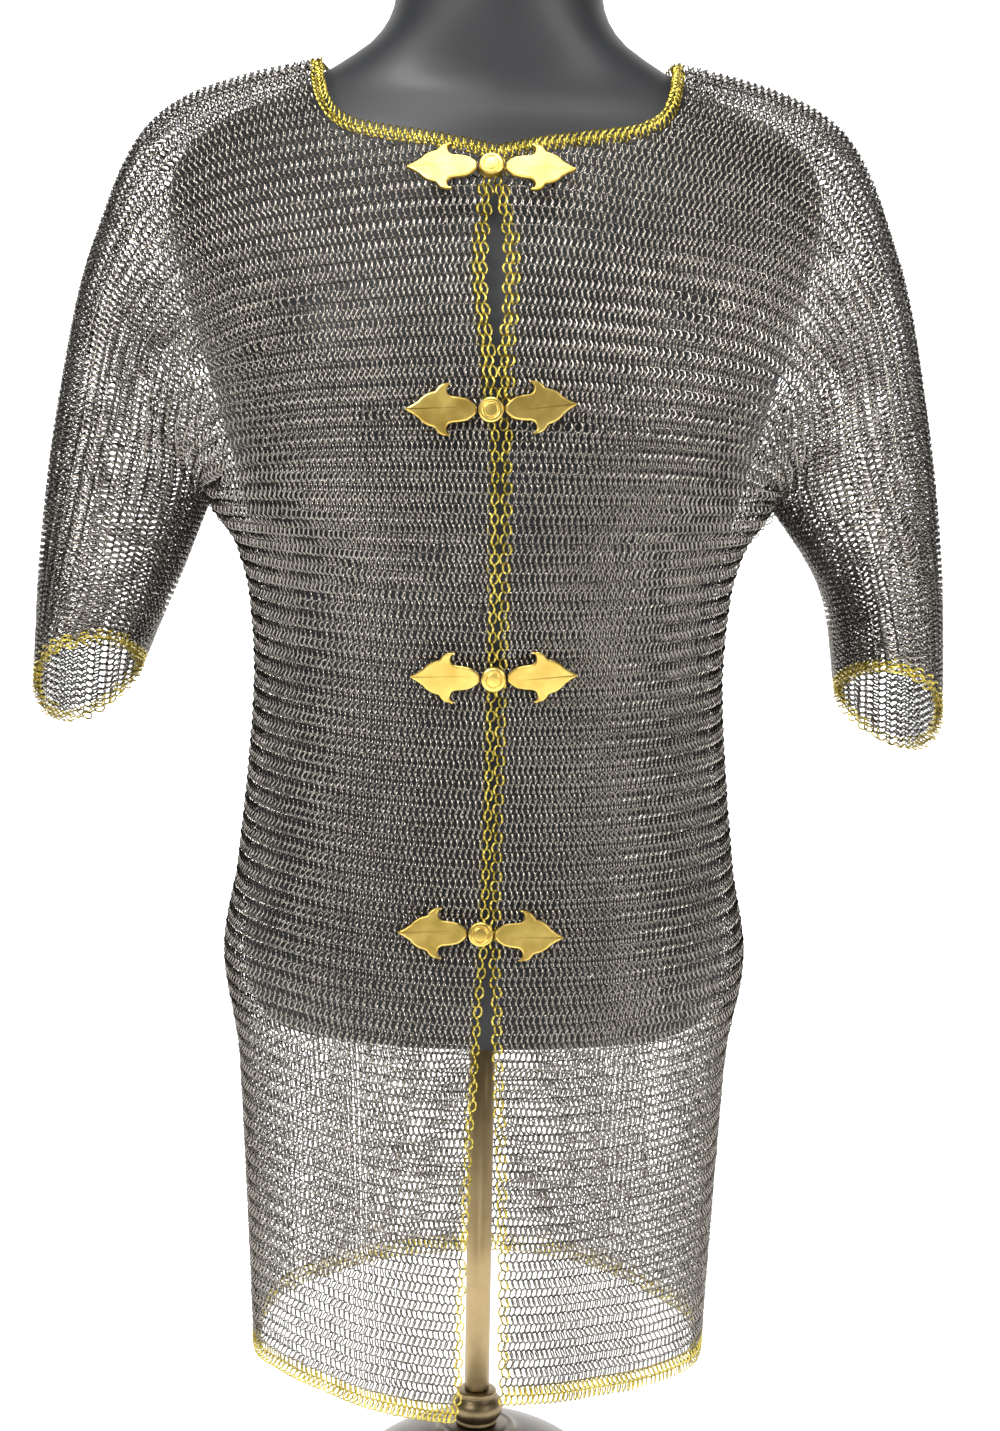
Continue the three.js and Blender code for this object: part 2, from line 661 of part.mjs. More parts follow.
function stand() {
  const group = new THREE.Group();
  const formBottom = FORM[0].z;
  const { bottom, top, radius } = COLLAR;
  const socketTop = formBottom - SEAM_GAP;
  const pole = [[0, top + SEAM_GAP], [POLE_RADIUS, top + SEAM_GAP], [POLE_RADIUS, socketTop - 22], [0, socketTop - 22]];
  const socket = [
    [0, socketTop - 22 + SEAM_GAP],
    [14, socketTop - 22 + SEAM_GAP],
    [15, socketTop - 6],
    [34, socketTop - 4],
    [34, socketTop],
    [0, socketTop],
  ];
  const middle = (bottom + top) / 2;
  const collar = [
    [0, bottom],
    [13.5, bottom],
    [13.5, bottom + 2.4],
    ...arcProfile(radius - 9, middle - 0.6, 9, -52, 46, 8),
    [12.4, top - 2.6],
    [12.8, top - 1],
    [11.6, top],
    [0, top],
  ];
  group.add(turned("pole", pole, AGED_BRASS, POLE_SIDES));
  group.add(turned("pole_socket", socket, AGED_BRASS, POLE_SIDES));
  group.add(turned("pole_collar", collar, AGED_BRASS, POLE_SIDES));
  group.add(foot());
  return group;
}

function foot() {
  const { radius, domeRadius, height } = FOOT;
  const dome = [];
  for (const share of evenly(0, 1, 8)) {
    const angle = THREE.MathUtils.lerp(0.1, 1.26, share);
    dome.push([domeRadius * Math.cos(angle), 4 + (height - 8) * (Math.sin(angle) / Math.sin(1.26))]);
  }
  const profile = [
    [0, 0],
    [radius - 1, 0],
    [radius, 1],
    [radius, 5],
    [radius - 2, 7.5],
    ...dome,
    [25, height - 2.6],
    [23.5, height - 1],
    [20, height - 1.4],
    [18.5, height - 0.3],
    [0, height - 0.3],
  ];
  return turned("foot", profile, CAST_IRON, FOOT_SIDES);
}

// ---- Clasps -----------------------------------------------------------------------------------

// A clasp's leaf, pointing along +X from the boss: a rounded tail, two barbs that curl back and an
// arrow point.
function leafShape() {
  const { length, barb, tail } = LEAF;
  const upper = [
    { to: [15, tail - 0.4], via: [10.4, tail - 1.4] },
    { to: [25.4, tail - 0.6], via: [20.7, tail + 1.3] },
    { to: [21.3, barb - 2.6], via: [26.7, barb - 4.7] },
    { to: [24.5, barb], via: [20.4, barb - 0.4] },
    { to: [31.2, barb - 5.6], via: [30.4, barb] },
    { to: [36.2, 4.4], via: [32, barb - 8.1] },
  ];
  const neck = [8.0, 1.7];
  const shape = new THREE.Shape();
  shape.moveTo(neck[0], -neck[1]);
  shape.lineTo(neck[0], neck[1]);
  for (const { to, via } of upper) shape.quadraticCurveTo(via[0], via[1], to[0], to[1]);
  shape.lineTo(length, 0.6);
  shape.lineTo(length, -0.6);
  const corners = [neck, ...upper.map(({ to }) => to)];
  shape.lineTo(corners[upper.length][0], -corners[upper.length][1]);
  for (let i = upper.length - 1; i >= 0; i--) {
    const { via } = upper[i];
    shape.quadraticCurveTo(via[0], -via[1], corners[i][0], -corners[i][1]);
  }
  return shape;
}

function leafGeometry() {
  const { thickness, bevel } = LEAF;
  const geometry = new THREE.ExtrudeGeometry(leafShape(), {
    depth: thickness - 2 * bevel,
    bevelEnabled: true,
    bevelThickness: bevel,
    bevelSize: bevel,
    bevelOffset: -bevel,
    bevelSegments: 1,
    curveSegments: 3,
  });
  geometry.translate(0, 0, bevel);
  return geometry;
}

// The place of a clasp on the closed front: its X runs across, its Z straight out of the cloth.
function claspFrame(v, x) {
  const mid = clothPoint(0, v, false, 1).setX(0);
  const above = clothPoint(0, v - 12, false, 1).setX(0);
  const below = clothPoint(0, v + 12, false, 1).setX(0);
  const up = above.sub(below).normalize();
  const right = new THREE.Vector3(1, 0, 0);
  const out = right.clone().cross(up);
  const group = new THREE.Group();
  group.quaternion.setFromRotationMatrix(new THREE.Matrix4().makeBasis(right, up, out));
  group.position.copy(mid).addScaledVector(out, MAIL_THICKNESS / 2 + CLASP_CLEAR).setX(x);
  return group;
}

function clasp({ name, v, x, tip }) {
  const frame = claspFrame(v, x);
  for (const side of [1, -1]) {
    const word = side > 0 ? "left" : "right";
    const leaf = namedMesh(`clasp_${name}_leaf_${word}`, leafGeometry(), CAST_BRASS);
    if (side < 0) leaf.rotation.z = Math.PI;
    const holder = new THREE.Group();
    holder.rotation.y = THREE.MathUtils.degToRad(LEAF.yaw * side);
    holder.rotation.z = side > 0 ? THREE.MathUtils.degToRad(tip) : 0;
    holder.add(leaf);
    frame.add(holder);
  }
  frame.add(claspBoss(name));
  return frame;
}

function claspBoss(name) {
  const { radius, height, groove } = BOSS;
  const profile = [
    [0, 0],
    [radius, 0],
    [radius, height - 1],
    [radius - 0.9, height],
    [groove + 0.5, height],
    [groove, height - 0.5],
    [groove - 0.5, height],
    [0, height],
  ];
  return turned(`clasp_${name}_boss`, profile, CAST_BRASS, BOSS_SIDES);
}

// ---- The part ---------------------------------------------------------------------------------

function namedMesh(name, geometry, material) {
  const mesh = new THREE.Mesh(geometry, material);
  mesh.name = name;
  return mesh;
}

function hauberk() {
  const steel = [
    frontPanel("front_left", 1),
    frontPanel("front_right", -1),
    backPanel("back"),
    sleeveTube("sleeve_left", 1, evenly(0, 1, SLEEVE_STEPS_DOWN)),
    sleeveTube("sleeve_right", -1, evenly(0, 1, SLEEVE_STEPS_DOWN)),
  ];
  const brass = [
    neckEdging("neck_edging"),
    frontEdging("front_edging_left", 1),
    frontEdging("front_edging_right", -1),
    hemEdging("hem_edging"),
    sleeveTube("cuff_edging_left", 1, [1, 2]),
    sleeveTube("cuff_edging_right", -1, [1, 2]),
  ];
  const normals = sharedNormals([...steel, ...brass]);
  const group = new THREE.Group();
  // A sleeve gives way by more, which keeps the tight corner at the armpit clear.
  for (const grid of steel) {
    const gap = grid.closed ? SEAM_GAP * 1.5 : SEAM_GAP / 2;
    group.add(namedMesh(grid.name, wallGeometry(grid, normals, gap), MAIL_STEEL));
  }
  for (const grid of brass) group.add(namedMesh(grid.name, wallGeometry(grid, normals, SEAM_GAP), RING_BRASS));
  return group;
}

const part = new THREE.Group();
part.add(hauberk(), dressForm(), neckCap(), stand());
for (const row of CLASPS) part.add(clasp(row));

export default part;
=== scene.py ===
"""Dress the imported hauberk: linked rings, cast clasps, the dress form and its stand.

The mail is linked four in one. The cloth is one surface with two coordinates, as it is cut:
u counts the columns of rings outwards from the centre (4 at the side line, 6 at the cuff) and
v is measured down the cloth from the shoulder line. Lengths are millimetres until a mesh is made.
"""

import logging
import math
from dataclasses import dataclass, field
from enum import Enum
from typing import Any, Iterable, Sequence

import bmesh
import bpy
import numpy as np
from mathutils import Matrix, Vector
from mathutils.geometry import tessellate_polygon

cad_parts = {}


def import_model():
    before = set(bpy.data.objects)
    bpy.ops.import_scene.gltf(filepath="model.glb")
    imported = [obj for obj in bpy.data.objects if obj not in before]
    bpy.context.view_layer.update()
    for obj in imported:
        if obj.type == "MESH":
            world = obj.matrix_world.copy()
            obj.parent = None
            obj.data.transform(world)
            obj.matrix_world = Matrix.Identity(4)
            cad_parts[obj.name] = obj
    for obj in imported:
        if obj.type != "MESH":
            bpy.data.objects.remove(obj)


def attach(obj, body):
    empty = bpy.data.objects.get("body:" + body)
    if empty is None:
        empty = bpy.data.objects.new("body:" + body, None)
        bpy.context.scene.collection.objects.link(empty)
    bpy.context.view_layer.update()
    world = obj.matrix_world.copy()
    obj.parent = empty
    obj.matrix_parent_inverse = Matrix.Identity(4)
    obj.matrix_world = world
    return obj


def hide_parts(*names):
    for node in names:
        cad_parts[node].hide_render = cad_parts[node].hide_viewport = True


LOG = logging.getLogger("hauberk")
MM = 0.001
ROOT = "root"
SEED = 7

# ---- Sizes of the cloth, in millimetres and columns --------------------------------------------

SIDE = 4
CUFF = 6
ARMPIT_Z = 655.0
ARMPIT_V = 300.0
HEM_Z = 125.0
HEM_V = ARMPIT_V + ARMPIT_Z - HEM_Z
LAPPED_V = 250.0
LAPPED_EDGING = 4.7
SECTION_POWER = 2.3
EDGING = 8.0
SHOULDER_Y = 3.0
FOLD_TOP_Z = 350.0
BACK_HEM_RISE = 14.0
CORNER_SAG = {1: 2.0, -1: 14.0}


@dataclass(frozen=True)
class TorsoRow:
    """The mail's section below the armpits at one height."""

    z: float
    half_width: float
    front: float
    back: float


TORSO = (
    TorsoRow(125, 141, 108, 110),
    TorsoRow(240, 146, 113, 118),
    TorsoRow(320, 151, 116, 125),
    TorsoRow(378, 160, 118, 128.5),
    TorsoRow(430, 152, 113, 118),
    TorsoRow(500, 145, 108, 104),
    TorsoRow(555, 142, 107, 99),
    TorsoRow(605, 146, 112, 102),
    TorsoRow(632, 156, 117, 107),
    TorsoRow(655, 174, 120, 110),
)


@dataclass(frozen=True)
class BodyColumn:
    """A column of rings over the shoulder, from the shoulder line to the armpit's level."""

    top_x: float
    top_z: float
    drop: float
    front_reach: float
    back_reach: float
    low_front: float
    low_back: float
    rise: float
    lean: float


BODY_COLUMNS = (
    BodyColumn(0, 932, 10, 76, 108, 18, 30, 88, 0),
    BodyColumn(97, 920, 8, 76, 106, 18, 30, 88, 3),
    BodyColumn(198, 887, 6, 78, 98, 20, 28, 84, 6),
    BodyColumn(239, 812, 6, 88, 96, 34, 38, 56, 12),
)


@dataclass(frozen=True)
class SleeveColumn:
    """A column of rings round half the sleeve, from the outer side of the arm to the inner."""

    outer: tuple[float, float]
    inner: tuple[float, float]
    front: tuple[float, float, float]
    back: tuple[float, float, float]


SLEEVE_COLUMNS = (
    SleeveColumn((260, 720), (174, 655), (104, 0, 0), (106, 0, 0)),
    SleeveColumn((272, 624), (201, 605), (104, 12, 8), (110, -13, -9)),
    SleeveColumn((277, 520), (219, 553), (98, 52, 30), (112, -44, -20)),
)
INNER_OUT = {1: 6.0, -1: -6.0}
CUFF_DROP = {1: 7.0, -1: -3.0}


@dataclass(frozen=True)
class OpeningRow:
    """The front opening at one height: half its width and where its middle lies."""

    z: float
    half: float
    middle: float


OPENING = (
    OpeningRow(100, 11.8, 2),
    OpeningRow(200, 9.6, 2),
    OpeningRow(284, 6.6, 2),
    OpeningRow(375, 2.4, 2),
    OpeningRow(400, 0.4, 2.5),
    OpeningRow(560, 0.4, 4.5),
    OpeningRow(700, 0.4, 4.5),
    OpeningRow(744, 0.4, 2),
    OpeningRow(765, 3.0, 1),
    OpeningRow(790, 4.4, 0),
    OpeningRow(815, 3.2, 0),
    OpeningRow(836, 0.4, -1),
    OpeningRow(860, 0.4, -1),
)


@dataclass(frozen=True)
class Fold:
    """An upright fold of the free skirt."""

    u: float
    width: float
    depth: float
    back: bool


FOLDS = (
    Fold(-3.1, 0.36, 3.0, False),
    Fold(-1.9, 0.34, -2.2, False),
    Fold(1.5, 0.36, -2.4, False),
    Fold(2.9, 0.45, 2.8, False),
    Fold(-2.6, 0.5, 3.4, True),
    Fold(-0.7, 0.4, -2.6, True),
    Fold(1.1, 0.5, 3.0, True),
    Fold(2.8, 0.42, -2.8, True),
)


@dataclass(frozen=True)
class Neckline:
    """The neckline's reach at the centre, its dip and how square it is."""

    v: float
    dip: float
    power: float


NECK_U = 1.07
NECK_COLUMN_WIDTH = 95.0
NECK = {False: Neckline(76, 24, 7), True: Neckline(62, 0, 2.4)}

# Columns of the path round the body, which starts at the left front edge.
LEFT_SIDE, CENTRE_BACK, RIGHT_SIDE, RIGHT_EDGE = SIDE, 2 * SIDE, 3 * SIDE, 4 * SIDE
# A row that ends past every column never ends.
NEVER = 99.0
# How far below the armpit the upper cloth's shape fades out, in millimetres.
ARMPIT_BLEND = 60
# The share of a panel that the neckline leaves, and of its flat square that a panel fills.
NECKLINE_SHARE = 0.93
CUT_FILL = 0.9
# The share of its cell on the map that a ring fills.
PATCH_FILL = 0.46
# How loosely rings lie: their turn, their shift in millimetres and their spread of size.
TURN_SPREAD, SHIFT_SPREAD, SIZE_SPREAD = 0.05, 0.09, 0.012
# The narrowest strip of edging, in metres.
NARROWEST_STRIP = 0.0101
SHARP_DEGREES = 11

Array = np.ndarray


# ---- Small mathematics --------------------------------------------------------------------------


def smooth_between(a: Array, b: Array, c: Array, d: Array, t: Array) -> Array:
    """Return a smooth value between the neighbours a, b, c and d, at share t from b to c."""
    bend = 2 * a - 5 * b + 4 * c - d + t * (3 * (b - c) + d - a)
    return b + 0.5 * t * (c - a + t * bend)


def table_value(rows: Sequence[Any], name: str, z: Array) -> Array:
    """Look a named column of a table up at heights z, smoothly from row to row.

    Args:
        rows: rows in rising order of z.
        name: the column's field name.
        z: the heights.

    Returns:
        One value for each height.
    """
    heights = np.array([row.z for row in rows])
    values = np.array([getattr(row, name) for row in rows])
    last = len(rows) - 1
    i = np.clip(np.searchsorted(heights, z, side="right") - 1, 0, last - 1)
    t = np.clip((z - heights[i]) / (heights[i + 1] - heights[i]), 0, 1)
    before = values[np.maximum(i - 1, 0)]
    after = values[np.minimum(i + 2, last)]
    return smooth_between(before, values[i], values[i + 1], after, t)


def unit(vectors: Array) -> Array:
    """Return the vectors at length one."""
    return vectors / np.maximum(np.linalg.norm(vectors, axis=-1, keepdims=True), 1e-12)


def cubic_points(handles: Array, count: int) -> Array:
    """Return count + 1 points of a cubic curve, evenly spaced by length."""
    t = np.linspace(0, 1, 201)[:, None]
    a, b, c, d = handles
    fine = (1 - t) ** 3 * a + 3 * (1 - t) ** 2 * t * b + 3 * (1 - t) * t**2 * c + t**3 * d
    lengths = np.concatenate([[0], np.cumsum(np.linalg.norm(np.diff(fine, axis=0), axis=1))])
    wanted = np.linspace(0, lengths[-1], count + 1)
    return np.stack([np.interp(wanted, lengths, fine[:, k]) for k in range(3)], axis=1)


class Oval:
    """A quarter of a squarish oval, looked up by share of its length."""

    RATIOS = np.linspace(0.8, 2.4, 81)
    SHARES = np.linspace(0, 1, 101)

    def __init__(self, power: float) -> None:
        """Tabulate the angle of each share for each ratio of width to depth."""
        self.power = power
        angle = np.linspace(0, math.pi / 2, 241)
        sine = np.sin(angle) ** (2 / power)
        cosine = np.cos(angle) ** (2 / power)
        rows = []
        for ratio in self.RATIOS:
            steps = np.hypot(np.diff(sine) * ratio, np.diff(cosine))
            length = np.concatenate([[0], np.cumsum(steps)])
            rows.append(np.interp(self.SHARES * length[-1], length, angle))
        self.angles = np.array(rows)

    def point(self, half_width: Array, depth: Array, share: Array) -> tuple[Array, Array]:
        """Return how far out and how far forward the oval is at a share of its length."""
        step = self.RATIOS[1] - self.RATIOS[0]
        r = np.clip((half_width / depth - self.RATIOS[0]) / step, 0, 79.999)
        s = np.clip(share * 100, 0, 99.999)
        i, j = r.astype(int), s.astype(int)
        fr, fs = r - i, s - j
        low = self.angles[i, j] * (1 - fs) + self.angles[i, j + 1] * fs
        high = self.angles[i + 1, j] * (1 - fs) + self.angles[i + 1, j + 1] * fs
        angle = low * (1 - fr) + high * fr
        out = half_width * np.sin(angle) ** (2 / self.power)
        return out, depth * np.maximum(np.cos(angle), 0) ** (2 / self.power)


# ---- The cloth's surface ------------------------------------------------------------------------


@dataclass
class Places:
    """Places on the cloth: columns, distances down, and which quarter each is on."""

    u: Array
    v: Array
    back: Array
    side: Array

    def moved(self, du: float = 0.0, dv: float = 0.0) -> "Places":
        """Return the places moved by du columns and dv millimetres."""
        return Places(self.u + du, self.v + dv, self.back, self.side)

    def only(self, chosen: Array) -> "Places":
        """Return the chosen places."""
        return Places(self.u[chosen], self.v[chosen], self.back[chosen], self.side[chosen])

    @staticmethod
    def joined(parts: Sequence["Places"]) -> "Places":
        """Return several lots of places as one."""
        names = ("u", "v", "back", "side")
        return Places(*(np.concatenate([getattr(p, n) for p in parts]) for n in names))


def places(u: Array, v: Array, back: bool, side: int) -> Places:
    """Return places that all lie on one quarter."""
    u, v = np.broadcast_arrays(np.asarray(u, float), np.asarray(v, float))
    return Places(u.copy(), v.copy(), np.full(u.shape, back), np.full(u.shape, side))


class Cloth:
    """The mail's mid-surface."""

    CURVE_STEPS = 150

    def __init__(self) -> None:
        """Work out the columns of all four quarters."""
        self.oval = Oval(SECTION_POWER)
        self.curves = {
            (back, side): self._columns(back, side) for back in (False, True) for side in (1, -1)
        }

    def torso(self, u: Array, z: Array, back: bool) -> Array:
        """Return points of the torso's section, before they are mirrored to their side."""
        depth = table_value(TORSO, "back" if back else "front", z)
        out, forward = self.oval.point(table_value(TORSO, "half_width", z), depth, u / SIDE)
        return np.stack([out, forward if back else -forward, z], axis=-1)

    def _columns(self, back: bool, side: int) -> Array:
        """Return the points of the seven columns of a quarter."""
        way = 1 if back else -1
        curves = []
        for i, c in enumerate(BODY_COLUMNS):
            low = self.torso(np.array(float(i)), np.array(ARMPIT_Z), back)
            top = np.array([c.top_x, SHOULDER_Y, c.top_z])
            reach = c.back_reach if back else c.front_reach
            swing = c.low_back if back else c.low_front
            top_handle = top + [0, way * reach, -c.drop]
            curves.append(np.array([top, top_handle, low + [c.lean, way * swing, c.rise], low]))
        for i, s in enumerate(SLEEVE_COLUMNS):
            reach, outer_lift, inner_lift = s.back if back else s.front
            drop = CUFF_DROP[side] if i == 2 else 0
            out = INNER_OUT[side] if i == 1 else 0
            top = np.array([s.outer[0], SHOULDER_Y, s.outer[1] - drop])
            low = np.array([s.inner[0] + out, 0, s.inner[1] - drop])
            outer, inner = top + [0, way * reach, outer_lift], low + [0, way * reach, inner_lift]
            curves.append(np.array([top, outer, inner, low]))
        return np.array([cubic_points(h, self.CURVE_STEPS) for h in curves])

    def _upper(self, u: Array, w: Array, back: bool, side: int) -> Array:
        """Return points above the armpit's level, before they are mirrored."""
        curves = self.curves[(back, side)]
        place = np.clip(w, 0, 1) * self.CURVE_STEPS
        j = np.minimum(place.astype(int), self.CURVE_STEPS - 1)
        f = (place - j)[:, None]

        def at(k: Array) -> Array:
            """Return the points of columns k at the shares wanted."""
            return curves[k, j] * (1 - f) + curves[k, j + 1] * f

        i = np.clip(np.floor(u).astype(int), 0, CUFF - 1)
        b, c = at(i), at(i + 1)
        mirrored = at(np.ones_like(i)) * [-1, 1, 1]
        a = np.where((i > 0)[:, None], at(np.maximum(i - 1, 0)), mirrored)
        d = np.where((i + 2 <= CUFF)[:, None], at(np.minimum(i + 2, CUFF)), 2 * c - b)
        crease = np.where(i == SIDE, np.clip(w, 0, 1) ** 6, 0)[:, None]
        a = a * (1 - crease) + (2 * b - c) * crease
        return smooth_between(a, b, c, d, (u - i)[:, None])

    @staticmethod
    def _fold_depth(u: Array, z: Array, back: bool) -> Array:
        """Return how far the skirt's folds push the cloth out."""
        growth = np.clip((FOLD_TOP_Z - z) / (FOLD_TOP_Z - HEM_Z), 0, 1)
        depth = np.zeros_like(u)
        for fold in FOLDS:
            if fold.back == back:
                depth += fold.depth * np.exp(-(((u - fold.u) / fold.width) ** 2))
        return depth * growth * (2 - growth) * (1 - (np.abs(u) / SIDE) ** 16)

    def _lower(self, u: Array, v: Array, back: bool, side: int) -> Array:
        """Return points below the armpit's level, before they are mirrored."""
        down = (v - ARMPIT_V) / (HEM_V - ARMPIT_V)
        z = ARMPIT_Z + (HEM_Z - ARMPIT_Z) * down
        points = self.torso(u, z, back)
        blend = np.maximum(0, 1 - (v - ARMPIT_V) / ARMPIT_BLEND) ** 2
        level = np.full_like(u, ARMPIT_Z)
        meet = self._upper(u, np.ones_like(u), back, side) - self.torso(u, level, back)
        points = points + meet * blend[:, None]
        outwards = unit(np.stack([points[:, 0], points[:, 1] * 1.6, np.zeros_like(u)], axis=1))
        points = points + outwards * self._fold_depth(side * u, z, back)[:, None]
        near_centre = np.maximum(0, 1 - (u / 3) ** 2) ** 2
        points[:, 2] += (BACK_HEM_RISE if back else -CORNER_SAG[side]) * near_centre * down**2
        return points

    def points(self, where: Places) -> Array:
        """Return the points of the mid-surface at the places.

        Args:
            where: the places.

        Returns:
            An array of points, in millimetres.
        """
        result = np.zeros((len(where.u), 3))
        for back in (False, True):
            for side in (1, -1):
                mask = (where.back == back) & (where.side == side)
                if mask.any():
                    result[mask] = self._quarter(where.u[mask], where.v[mask], back, side)
        return result

    def _quarter(self, u: Array, v: Array, back: bool, side: int) -> Array:
        """Return points of one quarter, mirrored to its side and with the front's opening."""
        points = np.empty((len(u), 3))
        high = v <= ARMPIT_V
        if high.any():
            points[high] = self._upper(u[high], v[high] / ARMPIT_V, back, side)
        if not high.all():
            points[~high] = self._lower(u[~high], v[~high], back, side)
        points[:, 0] *= side
        if not back:
            z = points[:, 2]
            shift = side * table_value(OPENING, "half", z) + table_value(OPENING, "middle", z)
            points[:, 0] += np.where(u < 1, shift * (1 - u) ** 2, 0)
        return points

    def frames(self, where: Places) -> tuple[Array, Array, Array, Array]:
        """Return each place's point and its directions along the row, up the column and out."""
        du, dv = 0.03, 1.5
        across = self.points(where.moved(du=du)) - self.points(where.moved(du=-du))
        top = np.where(where.v < dv, 0.0, dv)
        above = Places(where.u, where.v - top, where.back, where.side)
        up = self.points(above) - self.points(where.moved(dv=dv))
        way = np.where(where.back, -1, 1) * where.side
        row = unit(across * way[:, None])
        column = unit(up)
        normal = unit(np.cross(row, column))
        return self.points(where), np.cross(column, normal), column, normal

    def area(self, u: tuple[float, float], v: tuple[float, float], back: bool, side: int) -> float:
        """Return the area between two columns and two levels of a quarter, in square metres."""
        us, vs = np.linspace(*u, 25), np.linspace(*v, 49)
        grid_u, grid_v = (g.ravel() for g in np.meshgrid(us, vs))
        p = self.points(places(grid_u, grid_v, back, side)).reshape(49, 25, 3)
        first = np.cross(p[1:, 1:] - p[:-1, :-1], p[1:, :-1] - p[:-1, 1:])
        return float(np.linalg.norm(first, axis=2).sum() / 2) * MM * MM


# ---- Rows of rings ------------------------------------------------------------------------------


@dataclass(frozen=True)
class Weave:
    """How the rings lie: their pitch along a row and from row to row, and how far they lean."""

    pitch: float = 4.25
    row_pitch: float = 5.55
    ring_radius: float = 3.32
    wire_radius: float = 0.58
    sleeve_wire_radius: float = 0.7
    lean_degrees: float = 50.0
    rows_above_armpit: int = 54
    rows_in_sleeve: int = 38
    rows_below_armpit: int = 95


WEAVE = Weave()


def row_shares(weave: Weave) -> tuple[Array, Array]:
    """Work out how the rows above the armpit spread over the cloth, from the centre to the cuff.

    Rows end in pairs between the chest and the sleeve, because half a sleeve is a shorter way
    round than the chest is. The rows that are left close up smoothly where a pair ends.

    Args:
        weave: the weave.

    Returns:
        The share of the way down at which each row lies, on a grid of columns, and the column
        at which each row ends.
    """
    rows = weave.rows_above_armpit
    pairs = (rows - weave.rows_in_sleeve) // 2
    ends = np.full(rows, NEVER)
    for k in range(pairs):
        first = int(rows * (k + 0.7) / pairs) - 2
        ends[first : first + 2] = 2.3 + 1.5 * ((k * 0.618) % 1.0)
    grid = np.linspace(0, CUFF, 301)
    weights = np.clip((ends[:, None] - grid[None, :]) / 0.9 + 0.5, 0, 1)
    total = weights.sum(axis=0) + 0.5
    below = np.cumsum(weights, axis=0) - weights / 2
    return (below + 0.5) / total, ends


class Row:
    """One row's path over the cloth, with its length."""

    STEPS = 160

    def __init__(self, cloth: Cloth, path: Array, where: Places) -> None:
        """Measure the path.

        Args:
            cloth: the cloth.
            path: the row's own coordinate, rising.
            where: the place of each value of path.
        """
        self.path = path
        self.where = where
        steps = np.linalg.norm(np.diff(cloth.points(where), axis=0), axis=1)
        self.length = np.concatenate([[0], np.cumsum(steps)])

    def lengths(self, at: Array) -> Array:
        """Return the length along the row at values of its coordinate."""
        return np.interp(at, self.path, self.length)

    def coordinates(self, lengths: Array) -> Array:
        """Return the row's coordinate at lengths along it."""
        return np.interp(lengths, self.length, self.path)

    def follow(self, before: Array, pitch: float, margin: float = 0.25) -> Array:
        """Set the row's rings midway between the rings of the row before.

        Where the rows spread or close up, a ring is added or left out, as mail is shaped.

        Args:
            before: the coordinates of the rings of the row before.
            pitch: the distance between rings, in millimetres.
            margin: how near an end a ring may be, in pitches.

        Returns:
            The coordinates of the row's rings.
        """
        end = self.length[-1]
        if len(before) > 1:
            s = self.lengths((before[1:] + before[:-1]) / 2)
        else:
            s = np.array([end / 2])
        s = s[(s > margin * pitch) & (s < end - margin * pitch)]
        if not len(s):
            s = np.array([end / 2])
        s = self._fill(np.concatenate([[-pitch * 0.25], s, [end + pitch * 0.25]]), pitch)[1:-1]
        s = self._thin(s, pitch)
        s = self._relax(s)
        return self.coordinates(s)

    @staticmethod
    def _fill(s: Array, pitch: float) -> Array:
        """Add rings where a gap is too wide."""
        pieces = [s[:1]]
        for a, b in zip(s[:-1], s[1:]):
            gap = (b - a) / pitch
            count = max(1, int(round(gap)) - 1) if gap > 1.34 else 0
            pieces.append(np.linspace(a, b, count + 2)[1:])
        return np.concatenate(pieces)

    @staticmethod
    def _thin(s: Array, pitch: float) -> Array:
        """Leave rings out where they crowd."""
        kept = [s[0]]
        for x in s[1:]:
            if x - kept[-1] > 0.7 * pitch:
                kept.append(x)
        return np.array(kept)

    @staticmethod
    def _relax(s: Array) -> Array:
        """Even the spacing out a little."""
        if len(s) > 2:
            for _ in range(3):
                s[1:-1] += 0.25 * (s[:-2] + s[2:] - 2 * s[1:-1])
        return s


@dataclass
class Rings:
    """Rings on the cloth: their places, and which way each leans."""

    where: Places
    lean: Array

    def only(self, chosen: Array) -> "Rings":
        """Return the chosen rings."""
        return Rings(self.where.only(chosen), self.lean[chosen])

    @staticmethod
    def joined(parts: Sequence["Rings"]) -> "Rings":
        """Return several lots of rings as one."""
        lean = np.concatenate([p.lean for p in parts])
        return Rings(Places.joined([p.where for p in parts]), lean)


